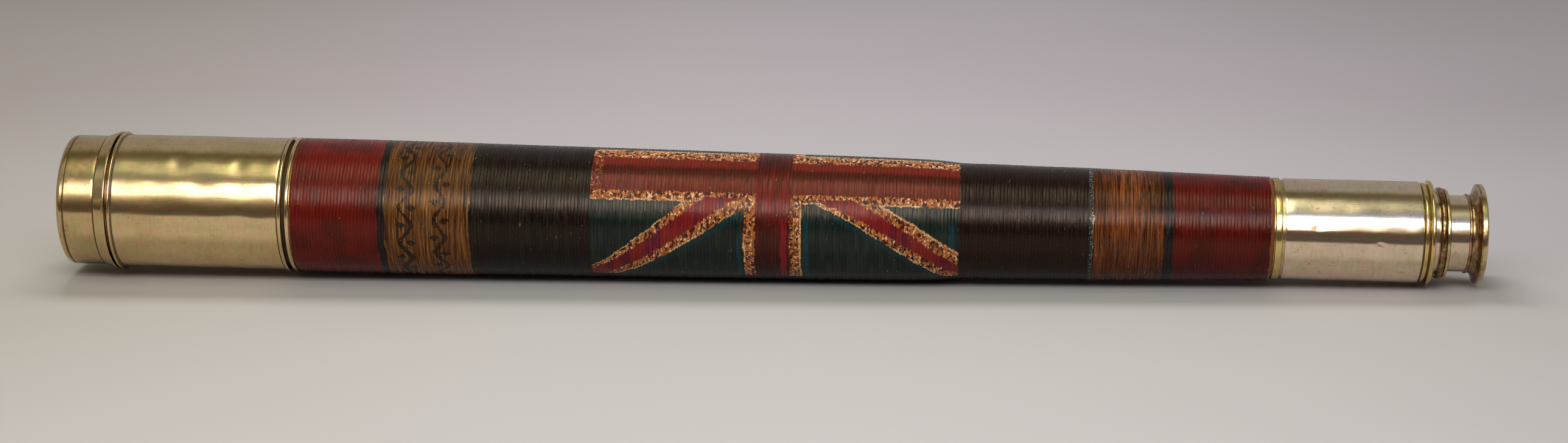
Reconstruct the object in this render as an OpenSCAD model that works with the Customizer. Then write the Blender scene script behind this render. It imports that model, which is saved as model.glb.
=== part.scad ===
// Single-draw ship's telescope, closed, with its lens cap on.
// The optical axis lies along X: the objective is at -X and the eyepiece at +X.
// The origin is on the axis, midway between the two ends. Stations are measured from the cap's face.

/* [Lens cap] */
// Length of the push-on cap, from its face to its mouth
cap_length = 25.5; // [24:0.1:30]
// Radius of the cap's wall at its face end
cap_radius = 32.4; // [32.2:0.1:33]
// Radius of the cap's flared grip lip
cap_lip_radius = 34.7; // [33.8:0.1:36]
// Dark gap between the cap's mouth and the sunshade
cap_gap = 1.2; // [1.2:0.05:2]

/* [Sunshade] */
// Length of the sunshade over its two rings
shade_length = 86.8; // [75:0.05:95]
// Outside radius of the sunshade tube
shade_radius = 33.3; // [33:0.1:33.6]
// Outside radius of the sunshade's front ring
shade_ring_radius = 34.7; // [34.4:0.1:36]
// Gap between the sunshade and the front ferrule
shade_gap = 1.7; // [1.6:0.1:3]

/* [Objective] */
// Outside radius of the cell and of the sleeve behind it, on which the sunshade slides
sleeve_radius = 31.0; // [30.6:0.1:31.1]
// Radius of the clear opening in front of the lens
aperture_radius = 27.0; // [24:0.5:27.5]
// Radius of the two objective lenses
objective_radius = 28.2; // [27.8:0.1:28.4]

/* [Barrel and binding] */
// Length of the twine binding
binding_length = 483.5; // [420:0.5:520]
// Outside radius of the binding at its objective end
binding_front_radius = 33.6; // [33.2:0.1:34.5]
// Outside radius of the binding at its eye end
binding_rear_radius = 25.7; // [25.5:0.1:27]
// Thickness of the paint and twine at the two ends
binding_thickness = 1.6; // [1.2:0.1:1.8]
// Wall of the brass barrel tube
barrel_wall = 0.9; // [0.7:0.1:1.2]

/* [Eye end] */
// Length of the plain brass sleeve
eye_sleeve_length = 66.4; // [55:0.1:75]
// Outside radius of the plain brass sleeve
eye_sleeve_radius = 25.1; // [24.8:0.1:25.4]
// Outside radius of the turned collar's flange
collar_radius = 25.7; // [25.4:0.1:26.5]

/* [Draw tube and eyepiece] */
// Outside radius of the draw tube
draw_radius = 20.2; // [19.8:0.1:20.3]
// How far the draw tube slides out from where it lies
draw_travel = 270; // [200:5:290]
// Length of draw tube that still shows at the collar
draw_gap = 2.7; // [2.2:0.1:6]
// Outside radius of the eyepiece neck
neck_radius = 18.8; // [18.5:0.1:19]
// Length of the eyepiece neck that shows
neck_length = 9.0; // [6:0.1:14]
// Outside radius of the eyecup's rim
eyecup_radius = 24.5; // [24:0.1:25.4]
// Length of the eyecup
eyecup_length = 8.4; // [7.6:0.1:10]
// Radius of the eye hole
eye_hole_radius = 3.5; // [2.5:0.1:3.8]

/* [Hidden] */
$fn = 96;

// Running clearance between a tube and what slides in or on it
running = 0.05;
// Wall of the drawn brass tubes
tube_wall = 0.8;
// Small step that shows a cut's edge past the solid it cuts
past = 1;

// Stations along the axis, from the cap's face
cap_mouth = cap_length;
shade_front = cap_mouth + cap_gap;
shade_end = shade_front + shade_length;
ferrule_front = shade_end + shade_gap;
ferrule_end = ferrule_front + 2.2;
// Bare twine that shows between the paint and a ferrule
bare_edge = 0.3;
binding_front = ferrule_end + bare_edge;
binding_end = binding_front + binding_length;
rear_ferrule_front = binding_end + bare_edge;
rear_ferrule_end = rear_ferrule_front + 3.6;
joint_line = 1.3;
eye_sleeve_front = rear_ferrule_end + joint_line;
eye_sleeve_end = eye_sleeve_front + eye_sleeve_length;
collar_end = eye_sleeve_end + 6.2;
end_ring_front = collar_end + draw_gap;
end_ring_end = end_ring_front + 5.2;
neck_end = end_ring_end + neck_length;
total_length = neck_end + eyecup_length;

// Cap and objective cell
cap_bore_radius = cap_radius - 0.9;
cap_face_thickness = 1.2;
cell_front = 5.0;
cell_shoulder = 30.0;
cell_end = 42.0;
sleeve_bore_radius = sleeve_radius - 0.9;
crown_edge_front = 8.0;
crown_edge_rear = 11.0;
spacer_thickness = 0.28;
spacer_width = 1.2;
// Air left between the foil and the flint lens's face
foil_clearance = 0.02;
flint_edge_front = crown_edge_rear + spacer_thickness + foil_clearance;
flint_edge_rear = 16.8;
crown_front_curve = 300;
crown_rear_curve = 220;
flint_rear_curve = 900;

// Sunshade
shade_bore_radius = shade_radius - tube_wall;
shade_rear_bead = 2.25;
felt_band_start = 66;
felt_band_length = 14;

// Barrel: share of the length against share of the whole taper. The whipping is
// built up under the painted flag, and falls away behind it at about 0.67 of the length.
taper = [
    [0, 0], [0.10, 0.02], [0.20, 0.08], [0.30, 0.145], [0.40, 0.205], [0.50, 0.2825], [0.60, 0.36],
    [0.66, 0.46], [0.685, 0.60], [0.72, 0.625], [0.76, 0.68], [0.82, 0.73], [0.88, 0.82], [0.94, 0.92], [1, 1]
];
tube_taper = [[0, 0], [0.12, 0.02], [0.30, 0.16], [0.50, 0.38], [0.75, 0.72], [0.92, 0.96], [1, 1]];
tube_front_radius = binding_front_radius - binding_thickness;
tube_rear_radius = binding_rear_radius - binding_thickness;
shoulder_round = 1.2;
front_socket_depth = 33;
rear_socket_depth = 14;

// Eye end
eye_bore_radius = eye_sleeve_radius - 0.85;
socket_spigot_radius = tube_rear_radius - barrel_wall;
guide_radius = draw_radius + running + 1.05;
guide_front = eye_sleeve_front + 12.6;
guide_end = collar_end - 2.3;
shoulder_front = guide_front - 4.4;
shoulder_end = guide_front - 1.0;

// Draw tube, erector and eyepiece
draw_bore_radius = draw_radius - 0.9;
draw_end = end_ring_front + 3.2;
stop_ring_end = shoulder_front - draw_travel - 0.1;
stop_ring_front = stop_ring_end - 5.5;
erector_front = stop_ring_front + 2;
erector_end = erector_front + 72;
erector_bore_radius = draw_bore_radius - 0.8;
erector_lens_edge = 2.5;
erector_outer_rise = 1.8;
erector_inner_rise = 2.5;
erector_ring_length = 4.5;
erector_ring_bore = erector_bore_radius - 2.5;
eyepiece_front = neck_end - 68;
eyepiece_bore_radius = neck_radius - 0.9;
field_lens_front = eyepiece_front + 6;
field_lens_rise = 2.2;
field_ring_bore = eyepiece_bore_radius - 2.2;
field_stop_front = neck_end - 36;
eye_cell_front = neck_end - 12;
eye_cell_end = neck_end - 2.8;
eye_lens_radius = 10;

// Eyecup and dust shutter
dish_floor_back = neck_end + 0.6;
dish_floor = neck_end + 1.7;
leaf_thickness = 0.7;
leaf_lift = 0.1;
leaf_radius = 5;
pivot_offset = 9;
pivot_radius = 1.1;
knob_offset = 3.2;

// Points on a half ellipse that stands on the line from (s0, r) to (s1, r)
function bead(s0, s1, r, height, steps = 8) = [
    for (i = [0:steps])
        let (t = 180 * i / steps)
        [(s0 + s1) / 2 - (s1 - s0) / 2 * cos(t), r + height * sin(t)]
];

// Points on a quarter ellipse from a to b. It leaves a along the axis if flat_first is true.
function quarter(a, b, flat_first = true, steps = 6) = [
    for (i = [0:steps])
        let (t = 90 * i / steps)
        flat_first
            ? [a[0] + (b[0] - a[0]) * sin(t), a[1] + (b[1] - a[1]) * (1 - cos(t))]
            : [a[0] + (b[0] - a[0]) * (1 - cos(t)), a[1] + (b[1] - a[1]) * sin(t)]
];

// Slope of a line of points at point i, level at both ends
function slope(p, i) =
    i == 0 || i == len(p) - 1 ? 0 : (p[i + 1][1] - p[i - 1][1]) / (p[i + 1][0] - p[i - 1][0]);

// Smooth cubic between points i and i + 1 of a line, at share t of the stretch
function blend(p, i, t) =
    let (h = p[i + 1][0] - p[i][0], a = 2 * t * t * t - 3 * t * t + 1, b = t * t * t - 2 * t * t + t)
    a * p[i][1] + (1 - a) * p[i + 1][1] + b * h * slope(p, i) + (t * t * t - t * t) * h * slope(p, i + 1);

// Smooth taper as [station, radius] from start, over length, between two radii
function tapered(p, start, length, r_front, r_rear, steps = 4) = concat(
    [for (i = [0:len(p) - 2]) for (k = [0:steps - 1])
        [start + length * (p[i][0] + (p[i + 1][0] - p[i][0]) * k / steps),
         r_front + (r_rear - r_front) * blend(p, i, k / steps)]],
    [[start + length, r_rear]]
);

function reversed(p) = [for (i = [len(p) - 1:-1:0]) p[i]];
function inward(p, d) = [for (q = p) [q[0], q[1] - d]];

binding_outline = tapered(
    taper, binding_front, binding_length, binding_front_radius, binding_rear_radius);
tube_outline = tapered(
    tube_taper, ferrule_end, rear_ferrule_front - ferrule_end, tube_front_radius, tube_rear_radius);

// A turned piece: a closed outline of [station, radius], spun about the axis
module turned(outline) {
    translate([-total_length / 2, 0, 0]) rotate([0, 90, 0]) rotate_extrude()
        polygon([for (p = outline) [p[1], p[0]]]);
}

// A plain round bar or disc between two stations
module bar(s0, s1, r) {
    translate([s0 - total_length / 2, 0, 0]) rotate([0, 90, 0]) cylinder(h = s1 - s0, r = r);
}

// A plain ring or tube between two stations
module ring(s0, s1, r_out, r_in) {
    difference() {
        bar(s0, s1, r_out);
        bar(s0 - past, s1 + past, r_in);
    }
}

// How far a round face of a given curve rises over its edge radius
function sag(curve, r) = curve - sqrt(curve * curve - r * r);

// How far a lens face stands past its edge station at radius r, when its middle stands rise past it
function proud(rise, r, edge) = rise * (1 - r * r / (edge * edge));

// Points of a lens face from the axis to its edge at station s. Its middle lies rise further along.
function lens_face(s, r, rise, steps = 16) = [
    for (i = [0:steps]) [s + proud(rise, r * i / steps, r), r * i / steps]
];

// A lens between two edge stations. A rise below zero moves a face's middle towards the objective.
module lens(s0, s1, r, front_rise, rear_rise) {
    turned(concat(lens_face(s0, r, front_rise), reversed(lens_face(s1, r, rear_rise))));
}

module lens_cap_shell() {
    lip_round = 0.4;
    groove_depth = 0.45;
    groove_front = 3.5;
    groove_end = groove_front + 0.9;
    groove_wall = 0.2;
    collar_front = cap_mouth - 5.9;
    flare_start = cap_radius + 0.55;
    lip_start = cap_mouth - 1.3;
    color("goldenrod") turned(concat(
        [[0, 0], [0, cap_radius - 3.8]],
        quarter([0, cap_radius - 3.6], [2.4, cap_radius - 0.1], flat_first = false),
        [[groove_front, cap_radius], [groove_front + groove_wall, cap_radius - groove_depth]],
        [[groove_end - groove_wall, cap_radius - groove_depth], [groove_end, cap_radius]],
        [[collar_front - 0.8, cap_radius + 0.5]],
        [[collar_front - 0.6, cap_radius - 0.1], [collar_front, cap_radius - 0.1]],
        [[collar_front + 0.2, flare_start], [lip_start, cap_lip_radius - 0.4]],
        [[lip_start + 0.4, cap_lip_radius]],
        [[cap_mouth - lip_round, cap_lip_radius], [cap_mouth, cap_lip_radius - lip_round]],
        [[cap_mouth, cap_bore_radius + 0.3], [cap_mouth - 0.3, cap_bore_radius]],
        [[cap_face_thickness, cap_bore_radius], [cap_face_thickness, 0]]
    ));
}

module lens_cap_lining() {
    color("saddlebrown") ring(3.2, cap_mouth - 1, cap_bore_radius, sleeve_radius + running);
}

module sunshade_tube() {
    color("goldenrod") ring(shade_front, shade_end - shade_rear_bead, shade_radius, shade_bore_radius);
}

module sunshade_front_ring() {
    bead_end = shade_front + 1.35;
    skirt_end = bead_end + 0.9;
    color("goldenrod") turned(concat(
        [[shade_front, shade_radius]],
        bead(shade_front, bead_end, shade_ring_radius - 0.6, 0.6),
        [[bead_end, shade_radius + 0.5], [skirt_end, shade_radius + 0.3], [skirt_end, shade_radius]]
    ));
}

module sunshade_rear_ring() {
    step = shade_end - shade_rear_bead;
    guide = sleeve_radius + running;
    color("goldenrod") turned(concat(
        [[step - 2.4, guide], [step - 2.4, shade_bore_radius], [step, shade_bore_radius]],
        bead(step, shade_end, shade_radius, 0.6),
        [[shade_end, guide]]
    ));
}

module sunshade_felt_band() {
    color("darkgreen")
        ring(felt_band_start, felt_band_start + felt_band_length, shade_bore_radius, sleeve_radius + running);
}

// The lip behind the aperture touches the crown lens only at the lip's own edge
module objective_cell() {
    lip_end = crown_edge_front
        - proud(sag(crown_front_curve, objective_radius), aperture_radius, objective_radius);
    color("darkgoldenrod") turned([
        [cell_front, aperture_radius], [cell_front, sleeve_radius - 0.8],
        [cell_front + 0.8, sleeve_radius], [cell_shoulder, sleeve_radius],
        [cell_shoulder, sleeve_bore_radius], [cell_end, sleeve_bore_radius],
        [cell_end, objective_radius], [lip_end, objective_radius], [lip_end, aperture_radius]
    ]);
}

module objective_crown_lens() {
    color("lightcyan", 0.5) lens(
        crown_edge_front, crown_edge_rear, objective_radius,
        -sag(crown_front_curve, objective_radius), sag(crown_rear_curve, objective_radius));
}

// A thin foil ring, dished to the faces on both sides of it
module objective_spacer() {
    bore = objective_radius - spacer_width;
    dish = proud(sag(crown_rear_curve, objective_radius), bore, objective_radius);
    foil_end = crown_edge_rear + spacer_thickness;
    color("silver") turned([
        [crown_edge_rear, objective_radius], [foil_end, objective_radius],
        [foil_end + dish, bore], [crown_edge_rear + dish, bore]
    ]);
}

module objective_flint_lens() {
    color("lightcyan", 0.5) lens(
        flint_edge_front, flint_edge_rear, objective_radius,
        sag(crown_rear_curve, objective_radius), -sag(flint_rear_curve, objective_radius));
}

module objective_retaining_ring() {
    slot_width = 1.4;
    ring_end = flint_edge_rear + 3.2;
    color("darkgoldenrod") difference() {
        ring(flint_edge_rear, ring_end, objective_radius, aperture_radius);
        translate([ring_end - 1.2 - total_length / 2, -slot_width / 2, -objective_radius - past])
            cube([2 * past, slot_width, 2 * (objective_radius + past)]);
    }
}

module front_sleeve() {
    color("goldenrod")
        ring(cell_shoulder, ferrule_end + front_socket_depth, sleeve_radius, sleeve_bore_radius);
}

module front_ferrule() {
    edge = 0.5;
    r = shade_radius + 0.5;
    color("gold") turned([
        [ferrule_front, sleeve_radius], [ferrule_front, r - edge], [ferrule_front + edge, r],
        [ferrule_end - edge, r], [ferrule_end, r - edge], [ferrule_end, sleeve_radius]
    ]);
}

module barrel_tube() {
    color("goldenrod") difference() {
        turned(concat(tube_outline, reversed(inward(tube_outline, barrel_wall))));
        bar(ferrule_end - past, ferrule_end + front_socket_depth, sleeve_radius);
        bar(rear_ferrule_front - rear_socket_depth, rear_ferrule_front + past, socket_spigot_radius);
    }
}

// A blackened disc with a hole, pushed into the barrel where its bore has the disc's radius
module barrel_stop(share_from, hole_radius) {
    stop_thickness = 1.0;
    s = ferrule_end + share_from * (rear_ferrule_front - ferrule_end);
    // The bore narrows towards the eye end, so the disc is cut to its radius at the rear face
    r = tube_front_radius - barrel_wall
        + (tube_rear_radius - tube_front_radius) * share_of_taper(share_from + 0.003);
    color("dimgray") ring(s, s + stop_thickness, r, hole_radius);
}

// Share of the tube's taper at a share of its length
function share_of_taper(u, i = 0) =
    u <= tube_taper[i + 1][0]
        ? blend(tube_taper, i, (u - tube_taper[i][0]) / (tube_taper[i + 1][0] - tube_taper[i][0]))
        : share_of_taper(u, i + 1);

module barrel_stop_front() {
    barrel_stop(0.15, 25);
}

module barrel_stop_rear() {
    barrel_stop(0.35, 22);
}

module binding() {
    inner = [for (p = tube_outline) if (p[0] > binding_front && p[0] < binding_end) p];
    inner_front = tube_front_radius;
    inner_rear = tube_rear_radius;
    body = [
        for (p = binding_outline)
            if (p[0] > binding_front + shoulder_round && p[0] < binding_end - shoulder_round) p
    ];
    color("maroon") difference() {
        turned(concat(
            [[binding_front, inner_front - barrel_wall]],
            quarter([binding_front, binding_front_radius - 1.0],
                [binding_front + shoulder_round, binding_front_radius], flat_first = false),
            body,
            quarter([binding_end - shoulder_round, binding_rear_radius],
                [binding_end, binding_rear_radius - 1.0]),
            [[binding_end, inner_rear - barrel_wall]],
            reversed(inward(inner, barrel_wall))
        ));
        turned(concat(
            [[ferrule_end, 0]], tube_outline, [[rear_ferrule_front, 0]]
        ));
    }
}

module rear_ferrule() {
    edge = 0.4;
    r = eye_sleeve_radius + 0.2;
    color("gold") turned([
        [rear_ferrule_front, socket_spigot_radius], [rear_ferrule_front, r - edge],
        [rear_ferrule_front + edge, r], [rear_ferrule_end - edge, r], [rear_ferrule_end, r - edge],
        [rear_ferrule_end, socket_spigot_radius]
    ]);
}

module eye_end_socket() {
    bore = socket_spigot_radius - 1.1;
    front = rear_ferrule_front - rear_socket_depth;
    rear = shoulder_front - 0.6;
    color("darkgoldenrod") turned([
        [front, bore], [front, socket_spigot_radius], [rear_ferrule_end, socket_spigot_radius],
        [rear_ferrule_end, eye_bore_radius], [rear, eye_bore_radius], [rear, bore]
    ]);
}

module eye_end_sleeve() {
    color("goldenrod") ring(eye_sleeve_front, eye_sleeve_end, eye_sleeve_radius, eye_bore_radius);
}

module eye_end_collar() {
    spigot = 4.2;
    cove_end = eye_sleeve_end + 0.9;
    band_end = cove_end + 2.3;
    flange_front = collar_end - 2.3;
    color("goldenrod") turned(concat(
        [[eye_sleeve_end - spigot, guide_radius], [eye_sleeve_end - spigot, eye_bore_radius]],
        [[eye_sleeve_end, eye_bore_radius], [eye_sleeve_end + 0.3, collar_radius - 2.3]],
        bead(cove_end, band_end, collar_radius - 1.9, 0.8),
        [[band_end + 0.1, collar_radius - 2.2], [flange_front - 0.1, collar_radius - 2.2]],
        bead(flange_front, collar_end, collar_radius - 0.9, 0.9),
        [[collar_end, draw_radius + 0.3], [guide_end, draw_radius + 0.3], [guide_end, guide_radius]]
    ));
}

module stop_shoulder() {
    color("darkgoldenrod") ring(shoulder_front, shoulder_end, eye_bore_radius, draw_radius + 0.5);
}

// Spring tube that grips the draw tube, with saw cuts from its inner end
module draw_guide() {
    saw_cut = 0.8;
    cut_length = 30;
    color("darkgoldenrod") difference() {
        ring(guide_front, guide_end, guide_radius, draw_radius + running);
        for (a = [0:120:240])
            rotate([a, 0, 0])
                translate([guide_front - past - total_length / 2, -saw_cut / 2, 0])
                    cube([cut_length + past, saw_cut, guide_radius + past]);
    }
}

module draw_tube() {
    color("goldenrod") ring(stop_ring_front, draw_end, draw_radius, draw_bore_radius);
}

module draw_stop_ring() {
    color("darkgoldenrod") ring(stop_ring_front, stop_ring_end, draw_radius + 1.6, draw_radius);
}

module draw_end_ring() {
    bead_end = end_ring_front + 3.1;
    disc_radius = draw_radius + 1.7;
    color("goldenrod") turned(concat(
        [[end_ring_front, draw_radius]],
        bead(end_ring_front, bead_end, draw_radius + 1.2, 1.1),
        [[bead_end + 0.1, disc_radius - 0.6], [bead_end + 0.3, disc_radius]],
        [[end_ring_end - 0.6, disc_radius], [end_ring_end - 0.2, disc_radius - 0.5]],
        [[end_ring_end, neck_radius + 0.6], [end_ring_end, neck_radius]],
        [[draw_end, neck_radius], [draw_end, draw_radius]]
    ));
}

module erector_tube() {
    color("darkgoldenrod") ring(erector_front, erector_end, draw_bore_radius, erector_bore_radius);
}

module erector_lens_front() {
    edge = erector_front + erector_ring_length;
    color("lightcyan", 0.5) lens(
        edge, edge + erector_lens_edge, erector_bore_radius, -erector_outer_rise, erector_inner_rise);
}

// How far short of the lens's edge an erector ring ends, where it meets the lens's round face
function erector_ring_relief() = proud(erector_outer_rise, erector_ring_bore, erector_bore_radius);

module erector_ring_front() {
    ring_end = erector_front + erector_ring_length - erector_ring_relief();
    color("darkgoldenrod") ring(erector_front, ring_end, erector_bore_radius, erector_ring_bore);
}

module erector_stop() {
    middle = (erector_front + erector_end) / 2;
    color("dimgray") ring(middle, middle + 1, erector_bore_radius, 6);
}

module erector_lens_rear() {
    edge = erector_end - erector_ring_length;
    color("lightcyan", 0.5) lens(
        edge - erector_lens_edge, edge, erector_bore_radius, -erector_inner_rise, erector_outer_rise);
}

module erector_ring_rear() {
    ring_front = erector_end - erector_ring_length + erector_ring_relief();
    color("darkgoldenrod") ring(ring_front, erector_end, erector_bore_radius, erector_ring_bore);
}

module eyepiece_tube() {
    color("goldenrod") ring(eyepiece_front, neck_end, neck_radius, eyepiece_bore_radius);
}

module field_lens_ring() {
    ring_end = field_lens_front - proud(field_lens_rise, field_ring_bore, eyepiece_bore_radius);
    color("darkgoldenrod") ring(eyepiece_front, ring_end, eyepiece_bore_radius, field_ring_bore);
}

module field_lens() {
    edge_width = 2.5;
    color("lightcyan", 0.5) lens(
        field_lens_front, field_lens_front + edge_width, eyepiece_bore_radius,
        -field_lens_rise, field_lens_rise);
}

module field_stop() {
    color("dimgray") ring(field_stop_front, field_stop_front + 1, eyepiece_bore_radius, 9);
}

module eye_lens_ring() {
    seat = eye_cell_end - 3.4;
    color("darkgoldenrod") turned([
        [eye_cell_front, eye_lens_radius - 1.2], [eye_cell_front, eyepiece_bore_radius],
        [eye_cell_end, eyepiece_bore_radius], [eye_cell_end, eye_lens_radius],
        [seat, eye_lens_radius], [seat, eye_lens_radius - 1.2]
    ]);
}

module eye_lens() {
    seat = eye_cell_end - 3.4;
    color("lightcyan", 0.5) lens(seat, seat + 1.6, eye_lens_radius, 0, 1.3);
}

module eyecup() {
    bead_end = neck_end + 1.5;
    flare_end = total_length - 3.2;
    rim_edge = 0.6;
    dish_foot = neck_radius - 1.3;
    color("goldenrod") turned(concat(
        [[eye_cell_end, eyepiece_bore_radius - 2], [eye_cell_end, eyepiece_bore_radius]],
        [[neck_end, eyepiece_bore_radius]],
        bead(neck_end, bead_end, neck_radius + 0.2, 0.6),
        quarter([bead_end + 0.1, neck_radius + 0.3], [flare_end, eyecup_radius - 0.6]),
        [[flare_end + 0.3, eyecup_radius], [total_length - rim_edge, eyecup_radius]],
        quarter([total_length - rim_edge, eyecup_radius], [total_length, eyecup_radius - 0.9]),
        [[total_length, eyecup_radius - 1.5]],
        reversed(quarter([dish_floor, dish_foot], [total_length, eyecup_radius - 1.7])),
        [[dish_floor, eye_hole_radius], [dish_floor_back, eye_hole_radius + 1.1]],
        [[dish_floor_back, eyepiece_bore_radius - 2]]
    ));
}

// Places what turns with the shutter: the pivot's centre is straight above the eye hole
module on_dish(lift) {
    translate([dish_floor + lift - total_length / 2, 0, pivot_offset]) rotate([0, 90, 0]) children();
}

module shutter_leaf() {
    color("goldenrod") on_dish(leaf_lift) difference() {
        linear_extrude(leaf_thickness) {
            translate([pivot_offset, 0]) circle(r = leaf_radius);
            circle(r = 2.6);
            polygon([[0, -2.6], [pivot_offset, -3.6], [pivot_offset, 3.6], [0, 2.6]]);
        }
        translate([0, 0, -past]) cylinder(h = leaf_thickness + 2 * past, r = pivot_radius + running);
    }
}

module shutter_knob() {
    color("gold") on_dish(leaf_lift + leaf_thickness)
        translate([pivot_offset + knob_offset, 0, 0]) cylinder(h = 1.0, r = 1.0);
}

module shutter_pivot_screw() {
    head = 0.8;
    head_base = leaf_thickness + 2 * leaf_lift;
    color("gold") on_dish(0) difference() {
        union() {
            cylinder(h = head_base, r = pivot_radius);
            translate([0, 0, head_base]) cylinder(h = head, r = 1.9);
        }
        translate([-2, -0.2, head_base + head - 0.35]) cube([4, 0.4, past]);
    }
}

lens_cap_shell();
lens_cap_lining();
sunshade_tube();
sunshade_front_ring();
sunshade_rear_ring();
sunshade_felt_band();
objective_cell();
objective_crown_lens();
objective_spacer();
objective_flint_lens();
objective_retaining_ring();
front_sleeve();
front_ferrule();
barrel_tube();
barrel_stop_front();
barrel_stop_rear();
binding();
rear_ferrule();
eye_end_socket();
eye_end_sleeve();
eye_end_collar();
stop_shoulder();
draw_guide();
draw_tube();
draw_stop_ring();
draw_end_ring();
erector_tube();
erector_lens_front();
erector_ring_front();
erector_stop();
erector_lens_rear();
erector_ring_rear();
eyepiece_tube();
field_lens();
field_lens_ring();
field_stop();
eye_lens();
eye_lens_ring();
eyecup();
shutter_leaf();
shutter_knob();
shutter_pivot_screw();
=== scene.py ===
"""Looks of a closed ship's telescope: turned brass ends, a painted twine binding, and the glass inside.

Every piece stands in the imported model's own frame. The optical axis lies along X, the objective is at -X, and
the origin is on the axis midway between the two ends. Sizes are in millimetres until a mesh is made, and an
angle round the axis is counted from the near side (-Y) upwards.
"""

import logging
import math
import random
from collections.abc import Callable, Sequence
from dataclasses import dataclass
from enum import Enum

import bmesh
import bpy
import numpy as np
from mathutils import Matrix, Vector


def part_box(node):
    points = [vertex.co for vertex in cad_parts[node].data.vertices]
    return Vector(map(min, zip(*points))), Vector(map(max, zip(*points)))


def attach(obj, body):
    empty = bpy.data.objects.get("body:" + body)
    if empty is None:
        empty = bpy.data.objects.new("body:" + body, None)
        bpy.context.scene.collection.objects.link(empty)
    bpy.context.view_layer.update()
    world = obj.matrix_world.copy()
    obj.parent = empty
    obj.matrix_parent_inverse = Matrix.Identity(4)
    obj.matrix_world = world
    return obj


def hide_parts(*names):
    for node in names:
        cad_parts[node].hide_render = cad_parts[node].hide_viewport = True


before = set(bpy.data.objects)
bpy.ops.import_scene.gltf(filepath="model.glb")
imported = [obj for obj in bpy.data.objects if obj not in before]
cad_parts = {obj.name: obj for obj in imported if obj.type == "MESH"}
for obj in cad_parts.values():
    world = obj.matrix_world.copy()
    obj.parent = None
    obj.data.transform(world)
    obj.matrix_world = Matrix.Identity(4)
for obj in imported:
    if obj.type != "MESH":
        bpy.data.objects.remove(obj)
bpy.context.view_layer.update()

MM = 0.001
Colour = tuple[float, float, float]
Relief = Callable[[np.ndarray, np.ndarray], np.ndarray]
log = logging.getLogger("spyglass")


class Body(Enum):
    """The bodies that move on their own."""

    BARREL = "barrel"
    SUNSHADE = "sunshade"
    CAP = "lens_cap"
    DRAW = "draw"
    SHUTTER = "shutter"


class Slot(Enum):
    """The record's material slots; the new pieces are passed one, which nothing here uses."""

    POLISHED = "polished_brass"
    DRAWN = "drawn_brass"
    GLASS = "lens_glass"
    TWINE = "painted_twine"


# Shader trees


class Signal:
    """One output of a shader tree. Arithmetic on it adds Math nodes to that tree."""

    def __init__(self, tree: "Tree", socket: bpy.types.NodeSocket) -> None:
        """Keeps the tree and the socket that this signal comes from."""
        self.tree = tree
        self.socket = socket

    def __add__(self, other: "Signal | float") -> "Signal":
        """Adds another signal or a number."""
        return self.tree.math("ADD", self, other)

    def __sub__(self, other: "Signal | float") -> "Signal":
        """Takes another signal or a number away."""
        return self.tree.math("SUBTRACT", self, other)

    def __rsub__(self, other: float) -> "Signal":
        """Takes this signal away from a number."""
        return self.tree.math("SUBTRACT", other, self)

    def __mul__(self, other: "Signal | float") -> "Signal":
        """Multiplies by another signal or a number."""
        return self.tree.math("MULTIPLY", self, other)

    def __truediv__(self, other: "Signal | float") -> "Signal":
        """Divides by another signal or a number."""
        return self.tree.math("DIVIDE", self, other)

    def __abs__(self) -> "Signal":
        """Drops the sign."""
        return self.tree.math("ABSOLUTE", self)

    def fraction(self) -> "Signal":
        """Keeps the part after the decimal point."""
        return self.tree.math("FRACT", self)

    def sine(self) -> "Signal":
        """Sine of this signal in radians."""
        return self.tree.math("SINE", self)

    def least(self, other: "Signal | float") -> "Signal":
        """The smaller of the two."""
        return self.tree.math("MINIMUM", self, other)

    def most(self, other: "Signal | float") -> "Signal":
        """The larger of the two."""
        return self.tree.math("MAXIMUM", self, other)

    def rise(self, low: float, high: float) -> "Signal":
        """Smooth step from 0 at low to 1 at high, or the other way round if low is above high.

        Args:
            low: Where the step leaves 0.
            high: Where it reaches 1.

        Returns:
            The step.
        """
        node = self.tree.add("ShaderNodeMapRange", interpolation_type="SMOOTHSTEP")
        for name, value in (("From Min", low), ("From Max", high)):
            node.inputs[name].default_value = value
        self.tree.feed(node.inputs["Value"], self)
        return Signal(self.tree, node.outputs["Result"])

    def between(self, low: float, high: float, soft: float) -> "Signal":
        """1 between two values and 0 outside them.

        Args:
            low: Lower edge.
            high: Upper edge.
            soft: Half the width of each edge.

        Returns:
            The mask.
        """
        return self.rise(low - soft, low + soft) * self.rise(high + soft, high - soft)


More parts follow.
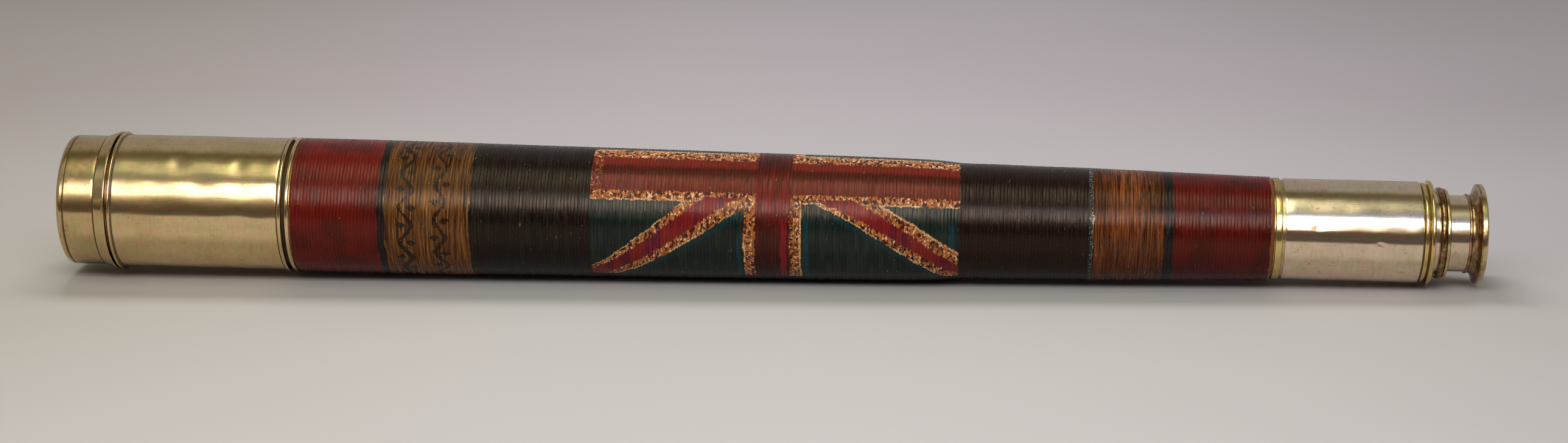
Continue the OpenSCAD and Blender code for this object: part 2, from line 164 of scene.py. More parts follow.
class Tree:
    """A shader tree that is written as formulas."""

    def __init__(self, owner: bpy.types.Material | bpy.types.World) -> None:
        """Clears the owner's tree and makes it ready."""
        owner.use_nodes = True
        self.nodes = owner.node_tree.nodes
        self.links = owner.node_tree.links
        self.nodes.clear()

    def add(self, kind: str, **settings: object) -> bpy.types.Node:
        """Adds a node and sets its properties.

        Args:
            kind: Blender's name of the node type.
            **settings: Properties of the node.

        Returns:
            The node.
        """
        node = self.nodes.new(kind)
        for name, value in settings.items():
            setattr(node, name, value)
        return node

    def feed(self, socket: bpy.types.NodeSocket, value: "Signal | float | Sequence[float]") -> None:
        """Links a signal to a socket, or sets the socket's own value.

        Args:
            socket: The input to fill.
            value: A signal, a number or a colour.
        """
        if isinstance(value, Signal):
            self.links.new(value.socket, socket)
        elif isinstance(value, (int, float)):
            socket.default_value = value
        else:
            socket.default_value = (*value, 1.0) if socket.type == "RGBA" else tuple(value)

    def math(self, operation: str, *values: Signal | float) -> Signal:
        """Adds a Math node.

        Args:
            operation: Blender's name of the operation.
            *values: Its inputs in order.

        Returns:
            The result.
        """
        node = self.add("ShaderNodeMath", operation=operation)
        for socket, value in zip(node.inputs, values):
            self.feed(socket, value)
        return Signal(self, node.outputs[0])

    def place(self, along: float = 1.0, around: float = 1.0) -> Signal:
        """The shaded point in millimetres, with the axis and the other two directions scaled apart.

        Args:
            along: Scale along the optical axis.
            around: Scale across it.

        Returns:
            The scaled point.
        """
        point = Signal(self, self.add("ShaderNodeTexCoord").outputs["Object"])
        node = self.add("ShaderNodeVectorMath", operation="MULTIPLY")
        self.feed(node.inputs[0], point)
        node.inputs[1].default_value = (along / MM, around / MM, around / MM)
        return Signal(self, node.outputs[0])

    def ray(self, kind: str) -> Signal:
        """1 for rays of one kind, by the name of Blender's light path output, and 0 for others."""
        return Signal(self, self.add("ShaderNodeLightPath").outputs[kind])

    def split(self, vector: Signal) -> tuple[Signal, Signal, Signal]:
        """The three parts of a vector."""
        node = self.add("ShaderNodeSeparateXYZ")
        self.feed(node.inputs[0], vector)
        return tuple(Signal(self, output) for output in node.outputs)

    def noise(self, point: Signal, scale: float = 1.0, detail: float = 2.0, rough: float = 0.5) -> Signal:
        """Cloud-like noise from about 0.2 to 0.8.

        Args:
            point: Where to read it.
            scale: Lumps per unit of the point.
            detail: Octaves of finer lumps.
            rough: How much the finer lumps count.

        Returns:
            The noise.
        """
        node = self.add("ShaderNodeTexNoise")
        self.feed(node.inputs["Vector"], point)
        for name, value in (("Scale", scale), ("Detail", detail), ("Roughness", rough)):
            node.inputs[name].default_value = value
        return Signal(self, node.outputs[0])

    def mix(self, under: Signal | Colour, over: Signal | Colour, amount: Signal | float) -> Signal:
        """Lays one colour over another.

        Args:
            under: The colour where the amount is 0.
            over: The colour where it is 1.
            amount: How much of the upper colour shows.

        Returns:
            The mixed colour.
        """
        node = self.add("ShaderNodeMix", data_type="RGBA")
        for index, value in ((0, amount), (6, under), (7, over)):
            self.feed(node.inputs[index], value)
        return Signal(self, node.outputs[2])

    def shaded(self, colour: Signal | Colour, amount: Signal) -> Signal:
        """Multiplies a colour by a grey level."""
        node = self.add("ShaderNodeMix", data_type="RGBA", blend_type="MULTIPLY")
        for index, value in ((0, 1.0), (6, colour), (7, amount)):
            self.feed(node.inputs[index], value)
        return Signal(self, node.outputs[2])

    def tinted(self, colour: Signal, tint: Colour) -> Signal:
        """Multiplies a colour by a tint, channel by channel."""
        node = self.add("ShaderNodeVectorMath", operation="MULTIPLY")
        self.feed(node.inputs[0], colour)
        node.inputs[1].default_value = tint
        return Signal(self, node.outputs[0])

    def ramp(self, value: Signal, stops: Sequence[tuple[float, Colour]]) -> Signal:
        """Colour by value.

        Args:
            value: What chooses the colour.
            stops: Values in rising order with their colours.

        Returns:
            The colour.
        """
        low, high = stops[0][0], stops[-1][0]
        node = self.add("ShaderNodeValToRGB")
        elements = node.color_ramp.elements
        while len(elements) < len(stops):
            elements.new(1.0)
        for element, (position, colour) in zip(elements, stops):
            element.position = (position - low) / (high - low)
            element.color = (*colour, 1.0)
        self.feed(node.inputs[0], (value - low) / (high - low))
        return Signal(self, node.outputs[0])

    def bump(self, height: Signal, strength: float = 1.0) -> Signal:
        """A normal that follows a height in millimetres."""
        node = self.add("ShaderNodeBump")
        node.inputs["Strength"].default_value = strength
        node.inputs["Distance"].default_value = MM
        self.feed(node.inputs["Height"], height)
        return Signal(self, node.outputs[0])

    def surface(self, **inputs: Signal | float | Colour) -> None:
        """Ends the tree in a Principled shader.

        Args:
            **inputs: The shader's inputs, with an underscore for each space in a name.
        """
        shader = self.add("ShaderNodeBsdfPrincipled")
        output = self.add("ShaderNodeOutputMaterial")
        for name, value in inputs.items():
            self.feed(shader.inputs[name.replace("_", " ")], value)
        self.links.new(shader.outputs[0], output.inputs["Surface"])


class Finish:
    """A material that is made once and shared."""

    def material(self) -> bpy.types.Material:
        """The finish as a Blender material, made the first time that it is asked for.

        Returns:
            The material.
        """
        name = self.title
        found = bpy.data.materials.get(name)
        if found is None:
            found = bpy.data.materials.new(name)
            self.paint(Tree(found))
        return found


# Finishes


@dataclass(frozen=True)
class Brass(Finish):
    """Turned or drawn brass with mottled tarnish, fine turning lines, wipe marks and a few scratches.

    Stations from dull_start to dull_end along the row's X axis are darkened all over: tarnish, and on the
    eyecup's flare also a painted dark reflection.
    """

    title: str
    clean: Colour
    tarnished: Colour
    tarnish: float = 0.5
    roughness: float = 0.14
    dull_start: float = 0.0
    dull_end: float = 0.0
    rosy: Colour = (0.80, 0.50, 0.36)
    olive: Colour = (0.60, 0.55, 0.27)
    stain: Colour = (0.34, 0.21, 0.11)

    def paint(self, tree: Tree) -> None:
        """Builds the tree.

        Args:
            tree: The empty tree to fill.
        """
        point = tree.place()
        cloud = tree.noise(point, 0.045, 3.0, 0.55)
        patches = tree.noise(point, 0.17, 3.0, 0.6)
        spots = tree.noise(point, 0.55, 3.0, 0.65)
        lines = tree.noise(tree.place(along=5.0, around=0.06), 1.0, 3.0, 0.7)
        wipes = tree.noise(tree.place(along=0.9, around=0.09), 1.0, 2.0, 0.6)
        scuffs = tree.noise(tree.place(along=0.09, around=3.2), 1.0, 2.0, 0.6).rise(0.60, 0.70)
        scratch = tree.noise(tree.place(along=0.05, around=5.0), 1.0, 1.0, 0.4).rise(0.69, 0.71)
        amount = cloud.rise(0.40, 0.62) * 0.70 + spots.rise(0.50, 0.70) * 0.40 + wipes.rise(0.48, 0.66) * 0.40
        amount = amount * self.tarnish
        if self.dull_end > self.dull_start:
            station = tree.split(point)[0]
            rubbed = spots.rise(0.60, 0.72) * 0.6
            amount = amount.most(station.between(self.dull_start, self.dull_end, 0.12) * (1.0 - rubbed))
        colour = tree.mix(self.clean, self.tarnished, amount)
        colour = tree.mix(colour, self.rosy, patches.rise(0.51, 0.61) * 0.60 * self.tarnish)
        colour = tree.mix(colour, self.olive, patches.rise(0.48, 0.38) * 0.75 * self.tarnish)
        colour = tree.mix(colour, self.stain, spots.rise(0.62, 0.69) * cloud.rise(0.48, 0.58) * 0.7)
        colour = tree.mix(colour, self.stain, scratch * wipes.rise(0.42, 0.56) * 0.75)
        rough = amount * 0.10 + scuffs * 0.04 + lines * 0.05 + (self.roughness - 0.05)
        height = lines * 0.0016 + scuffs * 0.0006 + cloud * 0.02 + patches * 0.004
        tree.surface(Base_Color=colour, Metallic=1.0, Roughness=rough, Normal=tree.bump(height))


@dataclass(frozen=True)
class OldPolishAndShade(Finish):
    """Dark dried polish in scribed grooves and in gaps between parts, where it also paints the shade that falls
    there.
    """

    title: str = "old_polish_and_painted_shade_in_grooves"
    colour: Colour = (0.060, 0.036, 0.010)

    def paint(self, tree: Tree) -> None:
        """Builds the tree.

        Args:
            tree: The empty tree to fill.
        """
        crumbs = tree.noise(tree.place(), 1.6, 3.0, 0.6)
        colour = tree.mix(self.colour, (0.16, 0.11, 0.05), crumbs.rise(0.55, 0.8))
        tree.surface(
            Base_Color=colour, Metallic=0.35, Roughness=crumbs * 0.3 + 0.45,
            Normal=tree.bump(crumbs * 0.03),
        )


@dataclass(frozen=True)
class Blackened(Finish):
    """Lamp-black lacquer on brass, rubbed through in specks."""

    title: str = "lamp_black_on_brass"
    colour: Colour = (0.012, 0.011, 0.010)

    def paint(self, tree: Tree) -> None:
        """Builds the tree.

        Args:
            tree: The empty tree to fill.
        """
        specks = tree.noise(tree.place(), 0.9, 4.0, 0.65)
        colour = tree.mix(self.colour, (0.16, 0.12, 0.06), specks.rise(0.68, 0.80))
        tree.surface(
            Base_Color=colour, Metallic=0.15, Roughness=specks * 0.3 + 0.45,
            Normal=tree.bump(specks * 0.02),
        )


@dataclass(frozen=True)
class LensGlass(Finish):
    """Old optical glass with the faintest green and a little dust."""

    title: str = "optical_glass"
    tint: Colour = (0.95, 0.985, 0.97)

    def paint(self, tree: Tree) -> None:
        """Builds the tree.

        Args:
            tree: The empty tree to fill.
        """
        dust = tree.noise(tree.place(), 1.1, 4.0, 0.7).rise(0.66, 0.82)
        tree.surface(
            Base_Color=self.tint, Roughness=dust * 0.12 + 0.01, IOR=1.52, Transmission_Weight=1.0,
        )


@dataclass(frozen=True)
class Foil(Finish):
    """Dull tin foil between the objective lenses."""

    title: str = "tin_foil"

    def paint(self, tree: Tree) -> None:
        """Builds the tree.

        Args:
            tree: The empty tree to fill.
        """
        creases = tree.noise(tree.place(), 0.8, 4.0, 0.6)
        colour = tree.mix((0.42, 0.42, 0.44), (0.66, 0.66, 0.68), creases)
        tree.surface(Base_Color=colour, Metallic=1.0, Roughness=creases * 0.3 + 0.2)


@dataclass(frozen=True)
class Nap(Finish):
    """Felt or suede: short fibres with a soft sheen."""

    title: str
    dark: Colour
    light: Colour

    def paint(self, tree: Tree) -> None:
        """Builds the tree.

        Args:
            tree: The empty tree to fill.
        """
        fibres = tree.noise(tree.place(), 3.5, 4.0, 0.7)
        wear = tree.noise(tree.place(), 0.12, 2.0)
        colour = tree.mix(self.dark, self.light, fibres * 0.7 + wear * 0.3)
        tree.surface(
            Base_Color=colour, Roughness=0.95, Sheen_Weight=0.35, Sheen_Roughness=0.5,
            Normal=tree.bump(fibres * 0.12),
        )


@dataclass(frozen=True)
class TwineReading:
    """What the layers of paint on the twine read at each point.

    The edge is a station that wanders as a painter's hand does. The round is the distance round the barrel
    from the middle of the flag, which wanders too. Both are in millimetres. The ridge is 1 on a turn of
    twine and 0 between two turns, and the rest are noises from about 0.2 to 0.8.
    """

    edge: Signal
    round: Signal
    ridge: Signal
    streak: Signal
    broad: Signal
    lay: Signal
    speck: Signal
    cloud: Signal

    def ring(self, low: float, high: float) -> Signal:
        """A painted ring with a hand-drawn edge."""
        return self.edge.between(low, high, 0.25)


@dataclass(frozen=True)
class Diagonal:
    """One diagonal of the flag below its level bar.

    Heights are measured round the barrel from the level bar's middle, and are negative here. A pair of widths
    is at the inner and at the outer station.
    """

    meets: float
    slope: float
    inner: float
    outer: float
    bow: float
    red: tuple[float, float]
    above: tuple[float, float]
    below: tuple[float, float]

    def masks(self, station: Signal, height: Signal) -> tuple[Signal, Signal]:
        """Where the diagonal lies.

        Args:
            station: Place along the axis.
            height: Height from the level bar's middle, negative below it.

        Returns:
            How far a point lies outside the red, as a share of the border's width, and how far below the
            border's lower edge, both signed.
        """
        share = ((station - self.inner) / (self.outer - self.inner)).most(0.0).least(1.0)
        half = (self.outer - self.inner) / 2
        off_middle = (station - (self.inner + half)) / half
        middle = (station - self.meets) * self.slope + (1.0 - off_middle * off_middle) * self.bow
        off = (height - middle) * math.cos(math.atan(self.slope))
        red = share * (self.red[1] - self.red[0]) + self.red[0]
        above = share * (self.above[1] - self.above[0]) + self.above[0]
        below = share * (self.below[1] - self.below[0]) + self.below[0]
        over = (off - red) / (above - red)
        under = (off * -1.0 - red) / (below - red)
        return over.most(under), off * -1.0 - below


@dataclass(frozen=True)
class Flag:
    """A naval flag of crosses, with flaked gilt borders on blue-green fields.

    Stations are in millimetres along the row's X axis, and heights are measured round the barrel from the
    middle of the level bar.
    """

    start: float = -85.2
    end: float = 95.6
    angle: float = 54.2
    half: float = 58.0
    radius: float = 31.0
    upright_middle: float = 4.45
    upright_half: float = 8.6
    upright_border: float = 5.4
    level_half: float = 10.3
    level_border_below: float = 4.6
    level_border_above: float = 8.8
    stroke_gap: float = 2.3
    left: Diagonal = Diagonal(-3.6, 0.708, -10.0, -84.0, 0.0, (4.6, 3.4), (10.3, 5.8), (10.4, 7.0))
    right: Diagonal = Diagonal(13.6, -0.625, 32.0, 96.0, 3.6, (3.4, 3.2), (6.3, 10.4), (5.3, 10.2))

    crimson: Colour = (0.210, 0.0125, 0.0110)
    plum: Colour = (0.105, 0.006, 0.022)
    scarlet: Colour = (0.32, 0.040, 0.028)
    level_reds_painted_reflection: tuple[tuple[float, Colour], ...] = (
        (-11.0, (0.150, 0.021, 0.012)), (-4.0, (0.180, 0.027, 0.017)), (-1.0, (0.078, 0.012, 0.007)),
        (3.0, (0.072, 0.010, 0.005)), (5.5, (0.200, 0.014, 0.006)), (11.0, (0.160, 0.012, 0.006)),
    )
    painted_highlight_rose: Colour = (0.20, 0.040, 0.038)
    level_dirt: Colour = (0.040, 0.016, 0.011)
    dark_red: Colour = (0.062, 0.0075, 0.005)
    muted_red: Colour = (0.110, 0.009, 0.007)
    bright_red: Colour = (0.23, 0.008, 0.014)
    upright_painted_highlight_tint: Colour = (1.8, 1.4, 1.4)
    upright_dirt: Colour = (0.024, 0.009, 0.006)
    deep_teal: Colour = (0.0055, 0.0150, 0.0130)
    bright_teal: Colour = (0.004, 0.040, 0.055)
    verdigris: Colour = (0.015, 0.026, 0.020)
    field_dirt: Colour = (0.014, 0.008, 0.006)
    painted_highlight_grey: Colour = (0.034, 0.042, 0.036)
    gold: Colour = (0.50, 0.160, 0.032)
    pale_gold: Colour = (0.95, 0.58, 0.34)
    flaked_gold: Colour = (0.150, 0.034, 0.011)
    gold_specks: Colour = (0.050, 0.010, 0.006)
    gold_dirt: Colour = (0.120, 0.015, 0.010)
    cream: Colour = (0.80, 0.52, 0.25)

    def lay(self, tree: Tree, read: TwineReading, under: Signal) -> Signal:
        """Lays the flag on the ground: fields, gilt borders, the saltire's red and the cross's.

        Args:
            tree: The tree that is being filled.
            read: The shared readings.
            under: The colour so far.

        Returns:
            The colour with the flag.
        """
        station, height = read.edge, read.round
        low = abs(height) * -1.0
        seen = height.rise(-2.0, -4.0).most(height.rise(26.0, 30.0))
        off_upright = abs(station - self.upright_middle) - self.upright_half
        off_level = abs(height) - self.level_half
        wider = height.rise(-1.0, 1.0) * (self.level_border_above - self.level_border_below)
        near_cross = (off_upright / self.upright_border).least(off_level / (wider + self.level_border_below))
        left, left_below = self.left.masks(station, low)
        right, right_below = self.right.masks(station, low)
        left = left.most(station - self.upright_middle)
        right = right.most(self.upright_middle - station)
        near_saltire = left.least(right)

        ragged = (read.speck - 0.5) * 0.9 + (read.streak - 0.5) * 0.5
        saltire_border = (near_saltire + ragged * 0.3).rise(1.05, 0.95) * seen
        cross_border = (near_cross + ragged * 0.3).rise(1.05, 0.95)
        clear = off_level.rise(1.9, 2.7) * off_upright.rise(self.upright_border, self.upright_border + 0.6)
        saltire = (near_saltire + ragged * 0.6).rise(0.08, -0.08) * seen * clear
        cross = (near_cross + ragged * 0.6).rise(0.08, -0.08)
        hoist = station.rise(self.start + 5.6, self.start + 4.8) * off_level.rise(5.0, 4.4)

        gilt = self.gilt(tree, read)
        beside = abs(off_upright - self.upright_border - self.stroke_gap)
        colour = self.fields(tree, read, left_below.least(right_below), beside, off_level)
        colour = tree.mix(colour, self.edged(tree, read, gilt, near_saltire), saltire_border)
        colour = tree.mix(colour, self.edged(tree, read, gilt, near_cross), cross_border)
        colour = tree.mix(colour, self.saltire_red(tree, read), saltire)
        colour = tree.mix(colour, self.cross_red(tree, read, off_upright), cross)
        colour = tree.mix(colour, gilt, hoist * read.speck.rise(0.48, 0.56) * 0.45)
        inside = read.ring(self.start, self.end) * abs(height).rise(self.half + 0.3, self.half - 0.3)
        return tree.mix(under, colour, inside)

    def saltire_red(self, tree: Tree, read: TwineReading) -> Signal:
        """The diagonals' red, with plum patches and scarlet streaks."""
        colour = tree.mix(self.crimson, self.plum, read.broad.rise(0.48, 0.66))
        return tree.mix(colour, self.scarlet, read.streak.rise(0.58, 0.73) * 0.7)

    def cross_red(self, tree: Tree, read: TwineReading, off_upright: Signal) -> Signal:
        """The red of both bars: the level bar brick above, dark in the middle and muted below as a painted
        reflection, the upright with painted shade and a painted highlight.

        Args:
            tree: The tree that is being filled.
            read: The shared readings.
            off_upright: Distance outside the upright bar.

        Returns:
            The colour.
        """
        height = read.round
        # The level bar's red by height is a painted reflection: bright above and below a dark middle.
        level = tree.ramp(height, self.level_reds_painted_reflection)
        # Painted highlight: a pinkish sheen on the left end of the level bar's lower half.
        rosy = read.edge.rise(-55.0, -62.0) * height.rise(-1.0, -3.0) * read.streak.rise(0.36, 0.5)
        level = tree.mix(level, self.painted_highlight_rose, rosy * 0.7)
        level = tree.mix(level, self.level_dirt, read.streak.rise(0.50, 0.62) * 0.65)
        upright = tree.mix(self.dark_red, self.muted_red, read.broad.rise(0.44, 0.60))
        # Painted shade darkens the upright downwards, and a painted highlight lightens it near the level bar.
        upright = tree.shaded(upright, height.rise(-56.0, -26.0) * 0.65 + 0.35)
        painted_highlight_upright = tree.tinted(upright, self.upright_painted_highlight_tint)
        upright = tree.mix(upright, painted_highlight_upright, height.between(-20.0, 2.0, 5.0))
        upright = tree.mix(upright, self.upright_dirt, read.streak.rise(0.52, 0.64) * 0.75)
        bright = read.edge.between(8.4, 11.4, 0.5) * height.rise(-20.0, -24.0) * read.streak.rise(0.34, 0.46)
        upright = tree.mix(upright, self.bright_red, bright)
        return tree.mix(level, upright, off_upright.rise(0.3, -0.3))

    def fields(
        self, tree: Tree, read: TwineReading, below: Signal, beside: Signal, off_level: Signal
    ) -> Signal:
        """The green-black fields, with blue strokes where they meet a border and a painted grey highlight above
        the level bar on the left.

        Args:
            tree: The tree that is being filled.
            read: The shared readings.
            below: Distance under the nearer diagonal's lower edge.
            beside: Distance from a line just outside the upright's border.
            off_level: Distance outside the level bar.

        Returns:
            The colour.
        """
        station, height = read.edge, read.round
        colour = tree.mix(self.deep_teal, self.verdigris, read.broad.rise(0.44, 0.62) * 0.9)
        colour = tree.mix(colour, self.field_dirt, read.streak.rise(0.54, 0.66) * 0.75)
        # Painted highlight: a grey band in the upper-left field just above the level bar's border.
        painted_highlight_band = off_level.between(5.0, 13.5, 1.2) * station.rise(-8.0, -18.0) * height.rise(0.0, -1.0)
        grey = read.streak.rise(0.36, 0.50) * painted_highlight_band
        colour = tree.mix(colour, self.painted_highlight_grey, grey * 0.60)
        left = beside.rise(1.1, 0.6) * station.rise(0.0, -1.0) * height.rise(-29.0, -33.0)
        right = beside.rise(1.7, 0.9) * station.rise(0.0, 1.0) * height.rise(-20.0, -24.0)
        far = station.between(90.5, 93.4, 0.4) * height.rise(-22.0, -26.0)
        under_saltire = below.between(0.3, 2.8, 0.9) * height.rise(-17.0, -21.0)
        strokes = left.most(right).most(far * 0.9).most(under_saltire * 0.55)
        return tree.mix(colour, self.bright_teal, strokes * read.streak.rise(0.30, 0.46))

    def gilt(self, tree: Tree, read: TwineReading) -> Signal:
        """Gold dabs flaked down to orange-brown, with pale dots and dark specks.

        Args:
            tree: The tree that is being filled.
            read: The shared readings.

        Returns:
            The colour.
        """
        dabs = tree.noise(tree.place(along=0.62, around=0.42), 1.0, 3.0, 0.62)
        dots = tree.noise(tree.place(along=0.85, around=0.60), 1.0, 2.0, 0.55)
        colour = tree.mix(self.flaked_gold, self.gold, dabs.rise(0.46, 0.53))
        colour = tree.mix(colour, self.pale_gold, dots.rise(0.56, 0.61))
        colour = tree.mix(colour, self.gold_specks, dabs.rise(0.455, 0.415))
        return tree.mix(colour, self.gold_dirt, read.streak.rise(0.57, 0.64) * 0.75)

    def edged(self, tree: Tree, read: TwineReading, gilt: Signal, share: Signal) -> Signal:
        """A border's gilt with a thin cream line along its outer edge.

        Args:
            tree: The tree that is being filled.
            read: The shared readings.
            gilt: The gilt's colour.
            share: Place across the border, 0 at the red and 1 at its outer edge.

        Returns:
            The colour.
        """
        line = share.between(0.84, 1.10, 0.05) * read.speck.rise(0.44, 0.50) * read.cloud.rise(0.42, 0.48)
        return tree.mix(gilt, self.cream, line)


@dataclass(frozen=True)
class PaintedTwine(Finish):
    """Fine twine under thick, worn and varnished paint, in rings, panels and one painted flag.

    Stations are in millimetres along the row's X axis, and the turns of twine are one pitch apart. The edge
    of a ring strays along the axis by the wander and the jitter, and a level edge strays round the barrel by
    what across says. A scroll is given as its middle, counted from the straw panel's end, and its lag.
    """

    flag: Flag = Flag()
    title: str = "twine_under_old_paint"
    pitch: float = 1.7
    start: float = -234.45
    end: float = 249.05
    red_end: float = -190.35
    stripe_end: float = -186.96
    straw_end: float = -145.06
    brown_start: float = 160.6
    brown_end: float = 195.5
    red_start: float = 200.0
    past_end: float = 9.0
    wander: float = 2.2
    jitter: float = 1.4
    across: float = 2.6
    scrolls: tuple[tuple[float, float], ...] = ((-31.5, 0.0), (-14.5, 2.1))
    scroll_wave: float = 17.0
    scroll_swing: float = 2.6
    lozenge_station: float = 187.7
    lozenge_round: float = -4.0

    near_black: Colour = (0.0085, 0.0040, 0.0032)
    olive_black: Colour = (0.011, 0.010, 0.006)
    brown_black: Colour = (0.0130, 0.0042, 0.0032)
    rusty_black: Colour = (0.020, 0.007, 0.0045)
    oxblood: Colour = (0.135, 0.0070, 0.0042)
    dark_oxblood: Colour = (0.080, 0.0062, 0.0040)
    light_oxblood: Colour = (0.160, 0.014, 0.008)
    rear_tint: Colour = (0.72, 0.84, 0.86)
    ink_blue: Colour = (0.010, 0.008, 0.008)
    worn_ink: Colour = (0.022, 0.018, 0.014)
    straw: Colour = (0.245, 0.112, 0.027)
    orange_brown: Colour = (0.150, 0.046, 0.0085)
    umber: Colour = (0.026, 0.010, 0.004)
    straw_painted_shade_tint: Colour = (0.62, 0.58, 0.46)
    straw_painted_highlight_tint: Colour = (1.45, 1.75, 2.10)
    moss: Colour = (0.085, 0.066, 0.022)
    scroll_ink: Colour = (0.016, 0.009, 0.006)
    chestnut: Colour = (0.20, 0.060, 0.016)
    russet: Colour = (0.105, 0.026, 0.006)
    bistre: Colour = (0.024, 0.007, 0.003)
    brown_painted_light_tint: Colour = (1.45, 1.40, 1.30)
    brown_painted_shade_tint: Colour = (0.85, 0.76, 0.70)
    darker_top_tint: Colour = (0.40, 0.38, 0.34)
    lozenge_ink: Colour = (0.020, 0.016, 0.014)
    hairline_teal: Colour = (0.010, 0.030, 0.030)
    hairline_flakes: Colour = (0.45, 0.38, 0.28)
    chipped_paint: Colour = (0.62, 0.56, 0.46)
    pale_thread: Colour = (0.62, 0.46, 0.26)
    rubbed_turn: Colour = (0.30, 0.21, 0.13)
    clean_twine: Colour = (0.62, 0.55, 0.45)
    bare_twine: Colour = (0.30, 0.10, 0.03)
    dirty_twine: Colour = (0.10, 0.035, 0.014)
    varnish_tint: Colour = (1.0, 0.82, 0.68)

    def paint(self, tree: Tree) -> None:
        """Builds the tree from the ground colour up to the wear.

        Args:
            tree: The empty tree to fill.
        """
        read = self.read(tree)
        colour = self.ground(tree, read)
        for layer in (self.rings, self.straw_panel, self.brown_panel, self.flag.lay, self.wear):
            colour = layer(tree, read, colour)
        gloss = read.streak.rise(0.38, 0.62) * 0.20 + read.lay * 0.10 + 0.075
        height = read.ridge * 0.02 + read.streak * 0.06 + read.speck * 0.05 + read.lay * 0.16
        tree.surface(
            Base_Color=colour, Roughness=gloss, Specular_IOR_Level=0.23, Specular_Tint=self.varnish_tint,
            Normal=tree.bump(height),
        )

    def read(self, tree: Tree) -> TwineReading:
        """Reads the places and the noises that every layer shares.

        Args:
            tree: The tree that is being filled.

        Returns:
            The readings.
        """
        x, y, z = tree.split(tree.place())
        angle = tree.math("ARCTAN2", z, y * -1.0)
        phase = ((x - self.start) / self.pitch - angle / (2 * math.pi)).fraction()
        wander = (tree.noise(tree.place(), 0.11, 1.0) - 0.5) * self.wander
        jitter = (tree.noise(tree.place(along=1.3, around=0.5), 1.0, 2.0) - 0.5) * self.jitter
        across = (tree.noise(tree.place(along=0.9, around=0.16), 1.0, 2.0) - 0.5) * self.across
        return TwineReading(
            edge=x + wander + jitter,
            round=(angle - math.radians(self.flag.angle)) * self.flag.radius + across,
            ridge=1.0 - abs(phase * 2.0 - 1.0),
            streak=tree.noise(tree.place(along=1.9, around=0.11), 1.0, 3.0, 0.6),
            broad=tree.noise(tree.place(along=0.42, around=0.05), 1.0, 2.0, 0.5),
            lay=tree.noise(tree.place(along=0.45, around=0.13), 1.0, 1.0, 0.5),
            speck=tree.noise(tree.place(), 1.25, 3.0, 0.65),
            cloud=tree.noise(tree.place(), 0.07, 3.0, 0.5),
        )

    def ground(self, tree: Tree, read: TwineReading) -> Signal:
        """Near-black ground with olive and brown strokes, browner towards the eye end.

        Args:
            tree: The tree that is being filled.
            read: The shared readings.

        Returns:
            The colour.
        """
        strokes = tree.mix(self.near_black, self.olive_black, read.broad.rise(0.48, 0.70))
        strokes = tree.mix(strokes, self.brown_black, read.edge.rise(95.0, 97.0) * 0.7)
        return tree.mix(strokes, self.rusty_black, read.streak.rise(0.58, 0.78))

    def rings(self, tree: Tree, read: TwineReading, under: Signal) -> Signal:
        """The red bands at both ends and the two dark stripes.

        Args:
            tree: The tree that is being filled.
            read: The shared readings.
            under: The colour so far.

        Returns:
            The colour with the rings.
        """
        deep = tree.mix(self.oxblood, self.dark_oxblood, read.cloud.rise(0.42, 0.66))
        red = tree.mix(deep, self.light_oxblood, read.streak.rise(0.56, 0.76) * 0.6)
        stripe = tree.mix(self.ink_blue, self.worn_ink, read.streak.rise(0.52, 0.72))
        for low, high, paint in (
            (self.start - self.past_end, self.red_end, red),
            (self.red_end, self.stripe_end, stripe),
            (self.brown_end, self.red_start, stripe),
            (self.red_start, self.end + self.past_end, tree.tinted(red, self.rear_tint)),
        ):
            under = tree.mix(under, paint, read.ring(low, high))
        return under

    def grained(self, tree: Tree, read: TwineReading, light: Colour, middle: Colour, dark: Colour) -> Signal:
        """Bare varnished twine: light, middle and dark threads side by side.

        Args:
            tree: The tree that is being filled.
            read: The shared readings.
            light: Colour of the palest threads.
            middle: Colour of most threads.
            dark: Colour between the threads.

        Returns:
            The colour.
        """
        threads = tree.noise(tree.place(along=1.25, around=0.045), 1.0, 3.0, 0.7)
        colour = tree.mix(dark, middle, threads.rise(0.38, 0.50))
        colour = tree.mix(colour, light, threads.rise(0.51, 0.62))
        colour = tree.mix(colour, dark, read.streak.rise(0.57, 0.69) * 0.85)
        pale = read.speck.rise(0.69, 0.74) * threads.rise(0.45, 0.60)
        return tree.mix(colour, self.pale_thread, pale * 0.7)

    def straw_panel(self, tree: Tree, read: TwineReading, under: Signal) -> Signal:
        """The straw-coloured panel with two painted running scrolls, painted shade over its upper part and a
        painted highlight band low on its near side.

        Args:
            tree: The tree that is being filled.
            read: The shared readings.
            under: The colour so far.

        Returns:
            The colour with the panel.
        """
        panel = self.grained(tree, read, self.straw, self.orange_brown, self.umber)
        # Painted shade: the panel's upper part is darker, where less light falls on it.
        panel = tree.mix(panel, tree.tinted(panel, self.straw_painted_shade_tint), read.round.rise(-17.0, -9.0))
        # Painted highlight: a lighter band in patches, low on the panel's near side.
        rubbed = read.round.between(-23.0, -14.5, 3.0) * read.cloud.rise(0.36, 0.52)
        panel = tree.mix(panel, tree.tinted(panel, self.straw_painted_highlight_tint), rubbed)
        panel = tree.mix(panel, self.moss, read.cloud.rise(0.54, 0.70) * 0.30)
        turn = read.round * (2 * math.pi / self.scroll_wave)
        for from_end, lag in self.scrolls:
            middle = self.straw_end + from_end
            swing = (turn + lag).sine() * self.scroll_swing
            off = abs(read.edge - middle - swing)
            stem = (off - (read.broad - 0.5) * 2.4).rise(1.35, 0.85)
            leaf_round = abs(((turn + lag) / math.pi + 1.0).fraction() - 0.5) * self.scroll_wave
            leaf_off = abs(read.edge - middle + swing)
            leaf = (leaf_off * 0.8 + leaf_round * 0.62).rise(2.5, 1.9)
            panel = tree.mix(panel, self.scroll_ink, stem.most(leaf) * read.speck.rise(0.34, 0.44))
        return tree.mix(under, panel, read.ring(self.stripe_end, self.straw_end))

